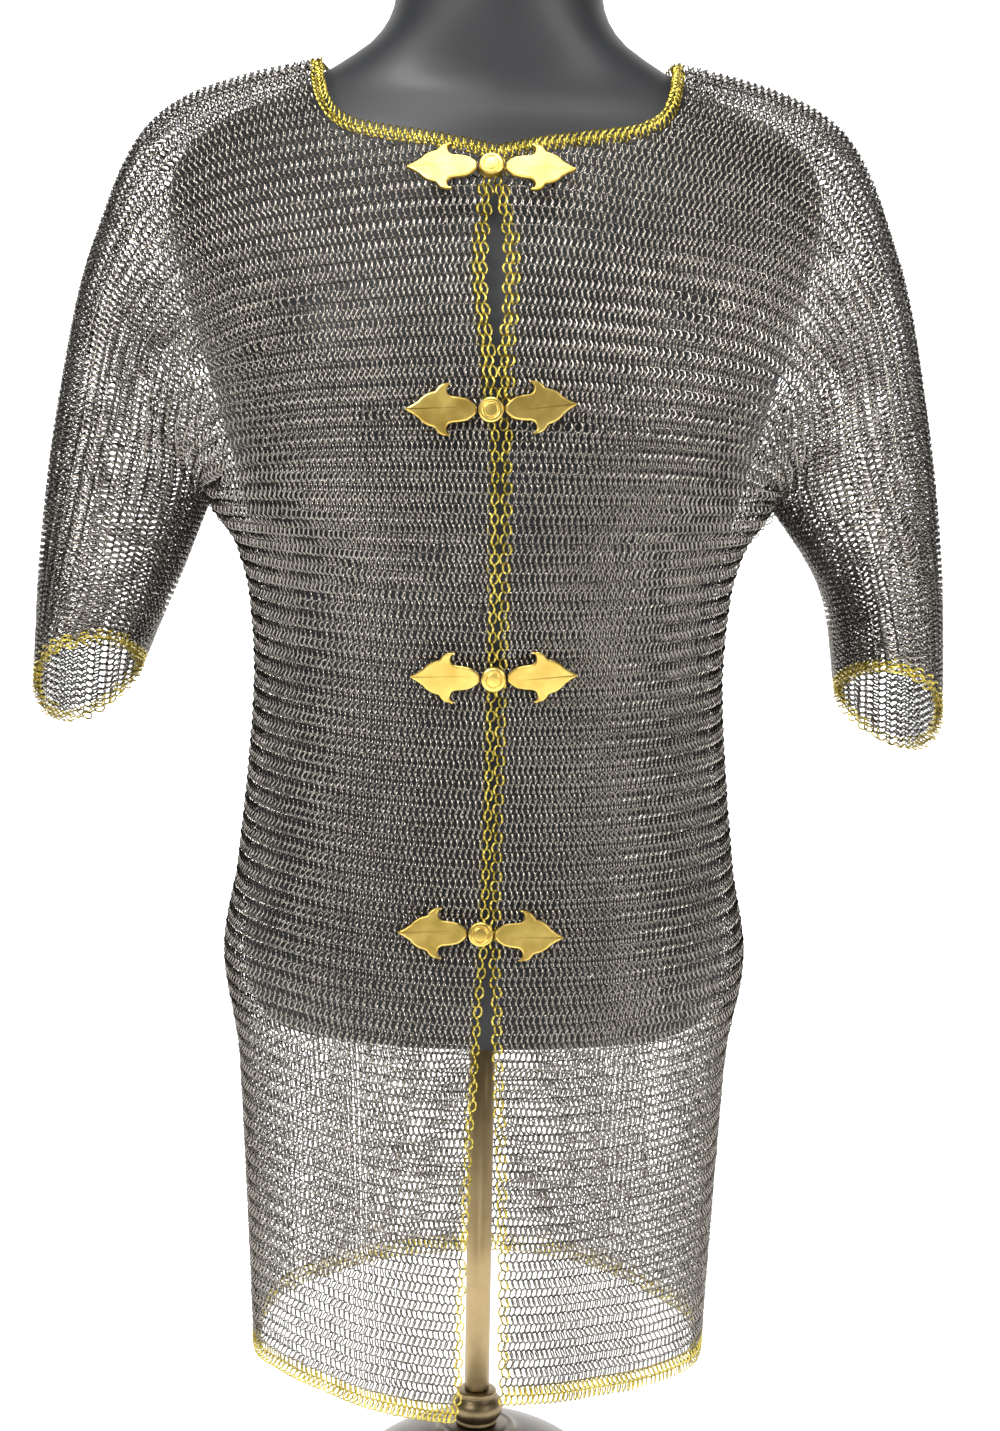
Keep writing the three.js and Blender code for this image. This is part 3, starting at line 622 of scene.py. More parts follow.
class Lattice:
    """Every ring of the mail, laid out row by row as it is woven."""

    def __init__(self, cloth: Cloth, weave: Weave) -> None:
        """Lay the rings out."""
        self.cloth = cloth
        self.weave = weave
        self.grid = np.linspace(0, CUFF, 301)
        self.shares, self.ends = row_shares(weave)
        self.lots: list[Rings] = []
        ridge = {side: self._ridge(side) for side in (1, -1)}
        front = {side: self._front(side, ridge[side]) for side in (1, -1)}
        back = self._back(ridge)
        self._lower(front, back)
        self.steel = Rings.joined(self.lots)

    def _v(self, row: int, u: Array) -> Array:
        """Return how far down the cloth a row lies at columns u."""
        return np.interp(np.abs(u), self.grid, self.shares[row]) * ARMPIT_V

    def _keep(self, where: Places, parity: int) -> None:
        """Keep a row's rings."""
        lean = np.full(len(where.u), 1 if parity % 2 == 0 else -1)
        self.lots.append(Rings(where, lean))

    def _ridge(self, side: int) -> Array:
        """Lay the row that lies on the shoulder line, and return its rings' columns."""
        start = NECK_U + EDGING / NECK_COLUMN_WIDTH
        u = np.linspace(start, CUFF, Row.STEPS)
        row = Row(self.cloth, u, places(u, 0.0, False, side))
        count = int(round(row.length[-1] / self.weave.pitch))
        at = row.coordinates((np.arange(count) + 0.5) * row.length[-1] / count)
        self._keep(places(at, 0.0, False, side), 0)
        return at

    def _starts(self, row: int, back: bool) -> float:
        """Return the column at which an upper row starts: at the neckline's edging or the centre."""
        shape = NECK[back]
        u = np.linspace(0, 1.4, 281)
        v = self._v(row, u)
        limit = neck_v(u, back, EDGING)
        outside = v > limit
        if shape.v + EDGING < v[0] and outside.all():
            return 0.0
        inside = np.nonzero(~outside)[0]
        return float(u[inside[-1]]) if len(inside) else 0.0

    def _front(self, side: int, ridge: Array) -> Array:
        """Lay a front's rows down to the armpit, and return the last row's columns."""
        before = ridge
        for j in range(self.weave.rows_above_armpit):
            start, end = self._starts(j, False), min(self.ends[j], CUFF)
            u = np.linspace(start, end, Row.STEPS)
            row = Row(self.cloth, u, places(u, self._v(j, u), False, side))
            at = row.follow(before[(before > start - 0.05) & (before < end)], self.weave.pitch)
            self._keep(places(at, self._v(j, at), False, side), j + 1)
            before = np.concatenate([at, before[before > end]])
        return before

    def _back(self, ridge: dict[int, Array]) -> Array:
        """Lay the back's rows down to the armpit, from the left cuff to the right."""
        before = {side: ridge[side] for side in (1, -1)}
        whole: Array | None = None
        for j in range(self.weave.rows_above_armpit):
            start, end = self._starts(j, True), min(self.ends[j], CUFF)
            if start > 0:
                for side in (1, -1):
                    u = np.linspace(start, end, Row.STEPS)
                    row = Row(self.cloth, u, places(u, self._v(j, u), True, side))
                    near = before[side]
                    at = row.follow(near[(near > start - 0.05) & (near < end)], self.weave.pitch)
                    self._keep(places(at, self._v(j, at), True, side), j + 1)
                    before[side] = np.concatenate([at, near[near > end]])
                continue
            if whole is None:
                whole = np.concatenate([-before[-1][::-1], before[1]])
            path = np.linspace(-end, end, 2 * Row.STEPS)
            row = Row(self.cloth, path, self._across(path, j))
            inside = np.abs(whole) < end
            at = row.follow(whole[inside], self.weave.pitch)
            self._keep(self._across(at, j), j + 1)
            whole = np.concatenate([whole[whole <= -end], at, whole[whole >= end]])
        assert whole is not None
        return whole

    def _across(self, path: Array, row: int) -> Places:
        """Return the places of an upper back row, whose coordinate is negative on the right."""
        u = np.abs(path)
        return Places(u, self._v(row, u), np.full(u.shape, True), np.where(path < 0, -1, 1))

    def _around(self, path: Array, levels: Array, share: float) -> Places:
        """Return the places of a row round the body, from one front edge to the other.

        Args:
            path: from 0 at the left front edge, past the centre back, to the right edge.
            levels: the v of each row and column, as made by _levels.
            share: the row's share of the way from the armpit to the hem.
        """
        quarters = [path <= LEFT_SIDE, path <= CENTRE_BACK, path <= RIGHT_SIDE]
        columns = [path, CENTRE_BACK - path, path - CENTRE_BACK]
        u = np.select(quarters, columns, RIGHT_EDGE - path)
        back = (path > LEFT_SIDE) & (path < RIGHT_SIDE)
        side = np.where(path <= CENTRE_BACK, 1, -1)
        shares, table, at = levels
        v = np.array([np.interp(share, shares, table[:, k]) for k in range(table.shape[1])])
        return Places(np.abs(u), np.interp(path, at, v), back, side)

    def _levels(self) -> tuple[Array, Array, Array]:
        """Measure the columns below the armpit, so that rows divide each of them evenly."""
        shares = np.linspace(0, 1, 81)
        path = np.linspace(0, RIGHT_EDGE, 65)
        v = np.linspace(ARMPIT_V + 0.01, HEM_V, 161)
        table = np.empty((len(shares), len(path)))
        for k, x in enumerate(path):
            u = min(x, abs(CENTRE_BACK - x), RIGHT_EDGE - x)
            back = LEFT_SIDE < x < RIGHT_SIDE
            where = places(np.full_like(v, u), v, back, 1 if x <= CENTRE_BACK else -1)
            steps = np.linalg.norm(np.diff(self.cloth.points(where), axis=0), axis=1)
            length = np.concatenate([[0], np.cumsum(steps)])
            table[:, k] = np.interp(shares * length[-1], length, v)
        return shares, table, path

    def _lower(self, front: dict[int, Array], back: Array) -> None:
        """Lay the rows below the armpit."""
        left, right = front[1][front[1] < SIDE], front[-1][front[-1] < SIDE]
        middle = -back[np.abs(back) < SIDE][::-1]
        before = np.concatenate([left, CENTRE_BACK + middle, RIGHT_EDGE - right[::-1]])
        levels = self._levels()
        rows = self.weave.rows_below_armpit
        path = np.linspace(0, RIGHT_EDGE, 4 * Row.STEPS)
        for m in range(rows):
            share = (m + 0.5) / rows
            row = Row(self.cloth, path, self._around(path, levels, share))
            before = row.follow(before, self.weave.pitch)
            self._keep(self._around(before, levels, share), self.weave.rows_above_armpit + 1 + m)


def neck_v(u: Array, back: bool, outside: float) -> Array:
    """Return how far down the cloth the line a little outside the neckline lies at columns u."""
    shape = NECK[back]
    angle = np.linspace(0, math.pi / 2, 181)
    across = np.cos(angle) ** (2 / shape.power)
    down = np.sin(angle) ** (2 / shape.power)
    line_u = (NECK_U + outside / NECK_COLUMN_WIDTH) * across
    line_v = (shape.v + outside) * down + shape.dip * (1 - across)
    return np.interp(u, line_u[::-1], line_v[::-1], right=-1.0)


def front_edge_distance(cloth: Cloth, where: Places) -> Array:
    """Return how far each place on a front lies from the opening's edge, in millimetres."""
    edge = Places(np.zeros_like(where.u), where.v, where.back, where.side)
    return np.linalg.norm(cloth.points(where) - cloth.points(edge), axis=1)


def cuff_distance(cloth: Cloth, where: Places) -> Array:
    """Return how far each place on a sleeve lies from the cuff's end, in millimetres."""
    end = Places(np.full_like(where.u, CUFF), where.v, where.back, where.side)
    return np.linalg.norm(cloth.points(where) - cloth.points(end), axis=1)


def neck_chain(cloth: Cloth, weave: Weave) -> Rings:
    """Lay the two rows of rings that edge the neckline, from one front edge round to the other."""
    lots = []
    for number, outside in enumerate((2.2, 4.8)):
        runs = []
        for side, back in ((1, False), (1, True), (-1, True), (-1, False)):
            angle = np.linspace(math.pi / 2, 0, 61)
            shape = NECK[back]
            across = np.cos(angle) ** (2 / shape.power)
            down = np.sin(angle) ** (2 / shape.power)
            u = (NECK_U + outside / NECK_COLUMN_WIDTH) * across
            v = (shape.v + outside) * down + shape.dip * (1 - across)
            run = places(u, v, back, side)
            flip = (side > 0) == back
            runs.append(run.only(np.arange(61)[::-1]) if flip else run)
        line = Places.joined(runs)
        steps = np.linalg.norm(np.diff(cloth.points(line), axis=0), axis=1)
        length = np.concatenate([[0], np.cumsum(steps)])
        count = int(length[-1] / weave.pitch)
        at = (np.arange(count) + 0.25 + 0.5 * number) * length[-1] / count
        index = np.clip(np.searchsorted(length, at) - 1, 0, len(length) - 2)
        t = (at - length[index]) / np.maximum(length[index + 1] - length[index], 1e-9)
        u = line.u[index] * (1 - t) + line.u[index + 1] * t
        v = line.v[index] * (1 - t) + line.v[index + 1] * t
        where = Places(u, np.maximum(v, 0), line.back[index], line.side[index])
        lots.append(Rings(where, np.full(count, 1 - 2 * number)))
    return Rings.joined(lots)


# ---- Shader nodes and finishes ------------------------------------------------------------------


def linear(hex_colour: str) -> tuple[float, float, float, float]:
    """Return a display colour such as "#aabbcc" as the linear colour a shader takes."""
    parts = [int(hex_colour[i : i + 2], 16) / 255 for i in (1, 3, 5)]
    values = [c / 12.92 if c <= 0.04045 else ((c + 0.055) / 1.055) ** 2.4 for c in parts]
    return (values[0], values[1], values[2], 1.0)


def add_node(tree: Any, kind: str, inputs: dict[Any, Any] | None = None, **settings: Any) -> Any:
    """Add a node with its settings, and link or set its inputs.

    Args:
        tree: the node tree.
        kind: the node's type name.
        inputs: by input name or number, a value, or an output socket to link.
        settings: the node's own properties.

    Returns:
        The node.
    """
    node = tree.nodes.new(kind)
    for name, value in settings.items():
        setattr(node, name, value)
    for key, value in (inputs or {}).items():
        socket = node.inputs[key]
        if isinstance(value, bpy.types.NodeSocket):
            tree.links.new(value, socket)
        else:
            socket.default_value = value
    return node


def colour_ramp(tree: Any, factor: Any, stops: Sequence[tuple[float, str]]) -> Any:
    """Add a ramp from a factor through display colours, and return its colour output."""
    node = add_node(tree, "ShaderNodeValToRGB", {0: factor})
    elements = node.color_ramp.elements
    while len(elements) < len(stops):
        elements.new(0.5)
    for element, (place, colour) in zip(elements, stops):
        element.position = place
        element.color = linear(colour)
    return node.outputs["Color"]


def ranged(tree: Any, factor: Any, low: float, high: float) -> Any:
    """Map a factor from 0-1 to low-high, and return the output."""
    node = add_node(tree, "ShaderNodeMapRange", {"Value": factor, "To Min": low, "To Max": high})
    return node.outputs["Result"]


@dataclass(frozen=True)
class Finish:
    """A finish: its colours, how it takes the light, and the scale of its marks in millimetres."""

    name: str
    dark: str
    light: str
    metallic: float
    roughness: tuple[float, float]
    patch: float
    grain: float
    grain_depth: float
    coat: float = 0.0
    edge: str | None = None

    def material(self) -> Any:
        """Make the material, in object coordinates."""
        made = bpy.data.materials.new(self.name)
        made.use_nodes = True
        tree = made.node_tree
        tree.nodes.clear()
        place = add_node(tree, "ShaderNodeTexCoord").outputs["Object"]
        patches = add_node(
            tree, "ShaderNodeTexNoise", {"Vector": place, "Scale": 1 / (self.patch * MM), "Detail": 4.0}
        ).outputs["Fac"]
        fine = add_node(
            tree, "ShaderNodeTexNoise", {"Vector": place, "Scale": 1 / (self.grain * MM), "Detail": 3.0}
        ).outputs["Fac"]
        stops = [(0.3, self.dark), (0.7, self.light)]
        colour = colour_ramp(tree, patches, stops)
        if self.edge:
            colour = self._worn_edges(tree, colour)
        bump = add_node(
            tree,
            "ShaderNodeBump",
            {"Height": fine, "Strength": 0.6, "Distance": self.grain_depth * MM},
        )
        shader = add_node(
            tree,
            "ShaderNodeBsdfPrincipled",
            {
                "Base Color": colour,
                "Metallic": self.metallic,
                "Roughness": ranged(tree, patches, *self.roughness),
                "Normal": bump.outputs["Normal"],
                "Coat Weight": self.coat,
                "Coat Roughness": 0.2,
            },
        )
        add_node(tree, "ShaderNodeOutputMaterial", {"Surface": shader.outputs["BSDF"]})
        return made

    def _worn_edges(self, tree: Any, colour: Any) -> Any:
        """Lighten the colour where handling has worn the raised edges."""
        raised = add_node(tree, "ShaderNodeNewGeometry").outputs["Pointiness"]
        worn = add_node(
            tree, "ShaderNodeMapRange", {"Value": raised, "From Min": 0.5, "From Max": 0.6}
        ).outputs["Result"]
        bright = linear(self.edge or "#ffffff")
        mix = add_node(tree, "ShaderNodeMix", {0: worn, 6: colour, 7: bright}, data_type="RGBA")
        return mix.outputs[2]


# Bright wire, wound and cut, tumbled and oiled: grey with small bright glints, a little warm.
STEEL_WIRE = Finish("oiled steel wire", "#77726c", "#8a857d", 1.0, (0.22, 0.3), 30, 1.2, 0.01)
# Brass wire of the edging: greenish yellow, brighter than the steel.
BRASS_WIRE = Finish("bright brass wire", "#9a8a34", "#cdbb5c", 1.0, (0.24, 0.34), 18, 1.2, 0.01)
# Cast brass, filed and polished, with shallow ripples from the mould.
POLISHED_BRASS = Finish("polished cast brass", "#c7a650", "#e2c66e", 1.0, (0.28, 0.38), 12, 1.6, 0.02)
# A hard shell sprayed near black, satin, with the faint orange peel of spraying.
SATIN_LACQUER = Finish(
    "sprayed satin lacquer", "#111214", "#1a1b1d", 0.0, (0.48, 0.56), 60, 1.1, 0.03, coat=0.04
)
# Drawn brass tube gone brown, with brighter rubbed patches.
PATINATED_BRASS = Finish(
    "patinated drawn brass", "#4d4232", "#85765a", 1.0, (0.3, 0.46), 14, 0.9, 0.02, edge="#b09a70"
)
# A turned iron casting under a dark bronze-grey plate.
PLATED_IRON = Finish(
    "bronze plated cast iron", "#37312b", "#5f574c", 1.0, (0.28, 0.42), 26, 1.4, 0.03, edge="#8d8270"
)


# ---- Rings as geometry --------------------------------------------------------------------------


class RingTree:
    """A node tree that sets a wire ring on every point it is given."""

    NUMBERS = ("Ring Radius", "Wire Radius", "Lean", "Scale")

    def __init__(self) -> None:
        """Build the tree."""
        self.tree = bpy.data.node_groups.new("rings on points", "GeometryNodeTree")
        self.sockets: dict[str, str] = {}
        self._interface()
        self._nodes()

    def _interface(self) -> None:
        face = self.tree.interface
        face.new_socket("Geometry", in_out="INPUT", socket_type="NodeSocketGeometry")
        for name in self.NUMBERS:
            socket = face.new_socket(name, in_out="INPUT", socket_type="NodeSocketFloat")
            self.sockets[name] = socket.identifier
        for name, kind in (("Segments", "NodeSocketInt"), ("Material", "NodeSocketMaterial")):
            self.sockets[name] = face.new_socket(name, in_out="INPUT", socket_type=kind).identifier
        face.new_socket("Geometry", in_out="OUTPUT", socket_type="NodeSocketGeometry")

    def _nodes(self) -> None:
        """Add the tree's nodes: a ring of half-round wire, set on the points by their frames."""
        tree = self.tree
        source = add_node(tree, "NodeGroupInput").outputs
        circle = add_node(
            tree,
            "GeometryNodeCurvePrimitiveCircle",
            {"Resolution": source["Segments"], "Radius": source["Ring Radius"]},
        ).outputs["Curve"]
        turned = self._facing(tree, circle, source)
        profile = add_node(
            tree,
            "GeometryNodeCurveArc",
            {
                "Resolution": 3,
                "Radius": source["Wire Radius"],
                "Start Angle": 0.0,
                "Sweep Angle": math.pi,
            },
        ).outputs["Curve"]
        wire = add_node(
            tree, "GeometryNodeCurveToMesh", {"Curve": turned, "Profile Curve": profile}
        ).outputs["Mesh"]
        local = add_node(tree, "GeometryNodeInputPosition").outputs["Position"]
        named = add_node(
            tree,
            "GeometryNodeStoreNamedAttribute",
            {"Geometry": wire, "Name": "on_ring", "Value": local},
            data_type="FLOAT_VECTOR",
            domain="POINT",
        ).outputs["Geometry"]
        frame = add_node(
            tree, "GeometryNodeInputNamedAttribute", {"Name": "frame"}, data_type="QUATERNION"
        ).outputs["Attribute"]
        size = add_node(
            tree, "GeometryNodeInputNamedAttribute", {"Name": "size"}, data_type="FLOAT"
        ).outputs["Attribute"]
        points = add_node(
            tree, "GeometryNodeMeshToPoints", {"Mesh": source["Geometry"]}
        ).outputs["Points"]
        set_on = add_node(
            tree,
            "GeometryNodeInstanceOnPoints",
            {"Points": points, "Instance": named, "Rotation": frame, "Scale": size},
        ).outputs["Instances"]
        real = add_node(
            tree, "GeometryNodeRealizeInstances", {"Geometry": set_on}
        ).outputs["Geometry"]
        patched = self._patches(tree, real, source)
        smooth = add_node(tree, "GeometryNodeSetShadeSmooth", {"Geometry": patched}).outputs["Geometry"]
        finished = add_node(
            tree, "GeometryNodeSetMaterial", {"Geometry": smooth, "Material": source["Material"]}
        ).outputs["Geometry"]
        add_node(tree, "NodeGroupOutput", {"Geometry": finished})

    @staticmethod
    def _facing(tree: Any, circle: Any, source: Any) -> Any:
        """Tilt the wire's profile all round the ring, to follow the ring's lean.

        The ridge comes out facing the body, half a turn from where it should be.
        """
        place = add_node(tree, "GeometryNodeInputPosition").outputs["Position"]
        x = add_node(tree, "ShaderNodeSeparateXYZ", {0: place}).outputs["X"]

        def maths(operation: str, *values: Any) -> Any:
            """Add a step of arithmetic and return its output."""
            inputs = dict(enumerate(values))
            return add_node(tree, "ShaderNodeMath", inputs, operation=operation).outputs[0]

        cosine = maths("DIVIDE", x, source["Ring Radius"])
        outwards = maths("MULTIPLY", cosine, maths("SINE", source["Lean"]))
        angle = maths("ARCTAN2", outwards, maths("COSINE", source["Lean"]))
        tilted = add_node(tree, "GeometryNodeSetCurveTilt", {"Curve": circle, "Tilt": angle})
        return tilted.outputs["Curve"]

    @staticmethod
    def _patches(tree: Any, geometry: Any, source: Any) -> Any:
        """Give each ring its own small patch of the panel's map."""
        on_ring = add_node(
            tree, "GeometryNodeInputNamedAttribute", {"Name": "on_ring"}, data_type="FLOAT_VECTOR"
        ).outputs["Attribute"]
        cell = add_node(
            tree, "GeometryNodeInputNamedAttribute", {"Name": "cell"}, data_type="FLOAT_VECTOR"
        ).outputs["Attribute"]
        reach = add_node(
            tree, "ShaderNodeMath", {0: source["Ring Radius"], 1: source["Scale"]}, operation="DIVIDE"
        ).outputs[0]
        share = add_node(tree, "ShaderNodeMath", {0: 1.0, 1: reach}, operation="DIVIDE").outputs[0]
        offset = add_node(
            tree, "ShaderNodeVectorMath", {0: on_ring, "Scale": share}, operation="SCALE"
        ).outputs["Vector"]
        total = add_node(tree, "ShaderNodeVectorMath", {0: cell, 1: offset}, operation="ADD").outputs["Vector"]
        return add_node(
            tree,
            "GeometryNodeStoreNamedAttribute",
            {"Geometry": geometry, "Name": "OFBake", "Value": total},
            data_type="FLOAT2",
            domain="CORNER",
        ).outputs["Geometry"]


def quaternions(x: Array, y: Array, z: Array) -> Array:
    """Return the rotations whose axes are x, y and z, as w, x, y, z."""
    m = np.stack([x, y, z], axis=2)
    w = np.sqrt(np.maximum(0, 1 + m[:, 0, 0] + m[:, 1, 1] + m[:, 2, 2])) / 2
    qx = np.sqrt(np.maximum(0, 1 + m[:, 0, 0] - m[:, 1, 1] - m[:, 2, 2])) / 2
    qy = np.sqrt(np.maximum(0, 1 - m[:, 0, 0] + m[:, 1, 1] - m[:, 2, 2])) / 2
    qz = np.sqrt(np.maximum(0, 1 - m[:, 0, 0] - m[:, 1, 1] + m[:, 2, 2])) / 2
    qx = np.copysign(qx, m[:, 2, 1] - m[:, 1, 2])
    qy = np.copysign(qy, m[:, 0, 2] - m[:, 2, 0])
    qz = np.copysign(qz, m[:, 1, 0] - m[:, 0, 1])
    q = np.stack([w, qx, qy, qz], axis=1)
    return q / np.linalg.norm(q, axis=1, keepdims=True)


@dataclass
class MailPiece:
    """A stretch of mail: its rings and the solids it stands for."""

    name: str
    rings: Rings
    nodes: tuple[str, ...]
    slot: str
    segments: int
    wire: float
    area: float
    flat: tuple[float, float]
    held: str = "hung"

    def build(self, cloth: Cloth, weave: Weave, tree: RingTree, material: Any) -> Any:
        """Args:
            cloth: the cloth they lie on.
            weave: their sizes.
            tree: the node tree that sets rings on points.
            material: their finish.

        Returns:
            The object.
        """
        obj = self._points(cloth, weave)
        modifier = obj.modifiers.new("rings", "NODES")
        modifier.node_group = tree.tree
        settings = {
            "Ring Radius": weave.ring_radius * MM,
            "Wire Radius": self.wire * MM,
            "Lean": math.radians(weave.lean_degrees),
            "Scale": PATCH_FILL / self._cells(),
            "Segments": self.segments,
            "Material": material,
        }
        for name, value in settings.items():
            modifier[tree.sockets[name]] = value
        graph = bpy.context.evaluated_depsgraph_get()
        mesh = bpy.data.meshes.new_from_object(obj.evaluated_get(graph), depsgraph=graph)
        obj.modifiers.remove(modifier)
        obj.data = mesh
        mesh.name = self.name
        for name in ("on_ring", "cell", "frame", "size"):
            if name in mesh.attributes:
                mesh.attributes.remove(mesh.attributes[name])
        declare(obj, self.nodes)
        return obj

    def _cells(self) -> int:
        """Return how many patches the panel's map has each way."""
        return int(math.ceil(math.sqrt(len(self.rings.lean))))

    def _points(self, cloth: Cloth, weave: Weave) -> Any:
        """Make the rings' centres, with a frame, a size and a patch of the map for each."""
        where, lean = self.rings.where, self.rings.lean
        centre, row, column, normal = cloth.frames(where)
        angle = math.radians(weave.lean_degrees)
        across = row * (math.cos(angle) * lean)[:, None] + normal * math.sin(angle)
        upright = column * lean[:, None]
        count = len(lean)
        rng = np.random.default_rng(SEED + count)
        across, upright = jittered(across, upright, rng)
        mesh = bpy.data.meshes.new(self.name + " centres")
        mesh.vertices.add(count)
        centre = centre + rng.normal(0, SHIFT_SPREAD, centre.shape)
        mesh.vertices.foreach_set("co", (centre * MM).astype(np.float32).ravel())
        frame = mesh.attributes.new("frame", "QUATERNION", "POINT")
        q = quaternions(across, upright, np.cross(across, upright))
        frame.data.foreach_set("value", q.astype(np.float32).ravel())
        size = mesh.attributes.new("size", "FLOAT", "POINT")
        size.data.foreach_set("value", rng.normal(1, SIZE_SPREAD, count).astype(np.float32))
        cells = self._cells()
        number = np.arange(count)
        middles = [number % cells + 0.5, number // cells + 0.5, np.zeros(count)]
        cell = np.stack(middles, axis=1) / cells
        patch = mesh.attributes.new("cell", "FLOAT_VECTOR", "POINT")
        patch.data.foreach_set("vector", cell.astype(np.float32).ravel())
        obj = bpy.data.objects.new(self.name, mesh)
        bpy.context.scene.collection.objects.link(obj)
        return obj


def jittered(across: Array, upright: Array, rng: np.random.Generator) -> tuple[Array, Array]:
    """Turn each ring a few degrees out of true, as loose rings lie."""
    across = unit(across + rng.normal(0, TURN_SPREAD, across.shape))
    upright = unit(upright + rng.normal(0, TURN_SPREAD, upright.shape))
    upright = unit(upright - across * (across * upright).sum(axis=1, keepdims=True))
    return across, upright


def declare(obj: Any, nodes: Iterable[str]) -> None:
    """Set a piece on the part's body, in place of its solids."""
    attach(obj, ROOT)
    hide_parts(*nodes)


# ---- The mail -----------------------------------------------------------------------------------


@dataclass
class Hauberk:
    """All the mail."""

    weave: Weave = WEAVE
    front_segments: int = 6
    sleeve_segments: int = 5
    back_segments: int = 5
    edging_segments: int = 8
    cloth: Cloth = field(default_factory=Cloth)

    def pieces(self) -> list[MailPiece]:
        """Sort the rings into the pieces of the garment."""
        lattice = Lattice(self.cloth, self.weave)
        steel = lattice.steel
        where = steel.where
        sleeve = where.u > SIDE
        cuff = sleeve & (cuff_distance(self.cloth, where) < EDGING)
        hem = ~sleeve & (where.v > HEM_V - 1.9 * self.weave.row_pitch)
        width = np.where(where.v < LAPPED_V, EDGING, LAPPED_EDGING)
        near = front_edge_distance(self.cloth, where) < width
        front_edge = ~where.back & ~sleeve & near & ~hem
        plain = ~(cuff | hem | front_edge)
        made: list[MailPiece] = []
        for side, word in ((1, "left"), (-1, "right")):
            here = where.side == side
            front = plain & here & ~where.back & ~sleeve
            high = where.v < ARMPIT_V
            upper, lower = steel.only(front & high), steel.only(front & ~high)
            made.append(self._front(word, "upper", upper, (0.0, ARMPIT_V), side))
            made.append(self._front(word, "lower", lower, (ARMPIT_V, HEM_V), side))
            made.append(self._sleeve(word, steel.only(plain & here & sleeve), side))
            edge = steel.only(front_edge & here)
            made.append(self._edging(f"front_edging_{word}", edge, 0.73))
            made.append(self._edging(f"cuff_edging_{word}", steel.only(cuff & here), 0.37))
        back = plain & where.back & ~sleeve
        high = where.v < ARMPIT_V
        made.append(self._back("upper", steel.only(back & high), (0.0, ARMPIT_V)))
        made.append(self._back("lower", steel.only(back & ~high), (ARMPIT_V, HEM_V)))
        made.append(self._edging("hem_edging", steel.only(hem), 0.88))
        made.append(self._edging("neck_edging", neck_chain(self.cloth, self.weave), 0.5))
        return made

    def _piece(
        self, name: str, rings: Rings, nodes: tuple[str, ...], segments: int, area: float
    ) -> MailPiece:
        """Make a steel piece, whose cut is near a rectangle of its area."""
        width = math.sqrt(area / CUT_FILL)
        sleeve = nodes[0].startswith("sleeve")
        wire = self.weave.sleeve_wire_radius if sleeve else self.weave.wire_radius
        return MailPiece(name, rings, nodes, "mail_steel", segments, wire, area, (width, width))

    def _front(
        self, word: str, part: str, rings: Rings, v: tuple[float, float], side: int
    ) -> MailPiece:
        """Make the upper or lower part of a front."""
        area = self.cloth.area((0.0, float(SIDE)), v, False, side)
        if part == "upper":
            area *= NECKLINE_SHARE
        name = f"mail_front_{word}_{part}"
        return self._piece(name, rings, (f"front_{word}",), self.front_segments, area)

    def _back(self, part: str, rings: Rings, v: tuple[float, float]) -> MailPiece:
        """Make the upper or lower part of the back."""
        area = sum(self.cloth.area((0.0, float(SIDE)), v, True, side) for side in (1, -1))
        if part == "upper":
            area *= NECKLINE_SHARE
        return self._piece(f"mail_back_{part}", rings, ("back",), self.back_segments, area)

    def _sleeve(self, word: str, rings: Rings, side: int) -> MailPiece:
        """Make a sleeve."""
        u, v = (float(SIDE), CUFF - 0.1), (0.0, ARMPIT_V)
        area = sum(self.cloth.area(u, v, back, side) for back in (False, True))
        name = f"mail_sleeve_{word}"
        return self._piece(name, rings, (f"sleeve_{word}",), self.sleeve_segments, area)

    def _edging(self, name: str, rings: Rings, length: float) -> MailPiece:
        """Make an edging of brass rings, whose cut is a strip."""
        cell = self.weave.pitch * self.weave.row_pitch * MM * MM
        area = len(rings.lean) * cell
        flat = (length, max(NARROWEST_STRIP, area / length))
        wire, segments = self.weave.wire_radius, self.edging_segments
        return MailPiece(
            f"brass_{name}", rings, (name,), "ring_brass", segments, wire, area, flat
        )

    def build(self) -> list[Any]:
        """Build every piece of mail."""
        tree = RingTree()
        steel, brass = STEEL_WIRE.material(), BRASS_WIRE.material()
        objects = []
        for piece in self.pieces():
            material = brass if piece.slot == "ring_brass" else steel
            obj = piece.build(self.cloth, self.weave, tree, material)
            rings, faces = len(piece.rings.lean), len(obj.data.polygons)
            LOG.info("%s: %d rings, %d faces", piece.name, rings, faces)
            objects.append(obj)
        return objects


# ---- Meshes of the form, the stand and the clasps ------------------------------------------------


def make_object(name: str, points: Array, faces: Sequence[Sequence[int]], material: Any) -> Any:
    """Make a smooth-shaded mesh object from points in millimetres."""
    mesh = bpy.data.meshes.new(name)
    mesh.from_pydata((np.asarray(points) * MM).tolist(), [], [list(f) for f in faces])
    made = bmesh.new()
    made.from_mesh(mesh)
    bmesh.ops.remove_doubles(made, verts=made.verts, dist=1e-6)
    bmesh.ops.recalc_face_normals(made, faces=made.faces)
    made.to_mesh(mesh)
    made.free()
    mesh.materials.append(material)
    mesh.shade_smooth()
    obj = bpy.data.objects.new(name, mesh)
    bpy.context.scene.collection.objects.link(obj)
    return obj


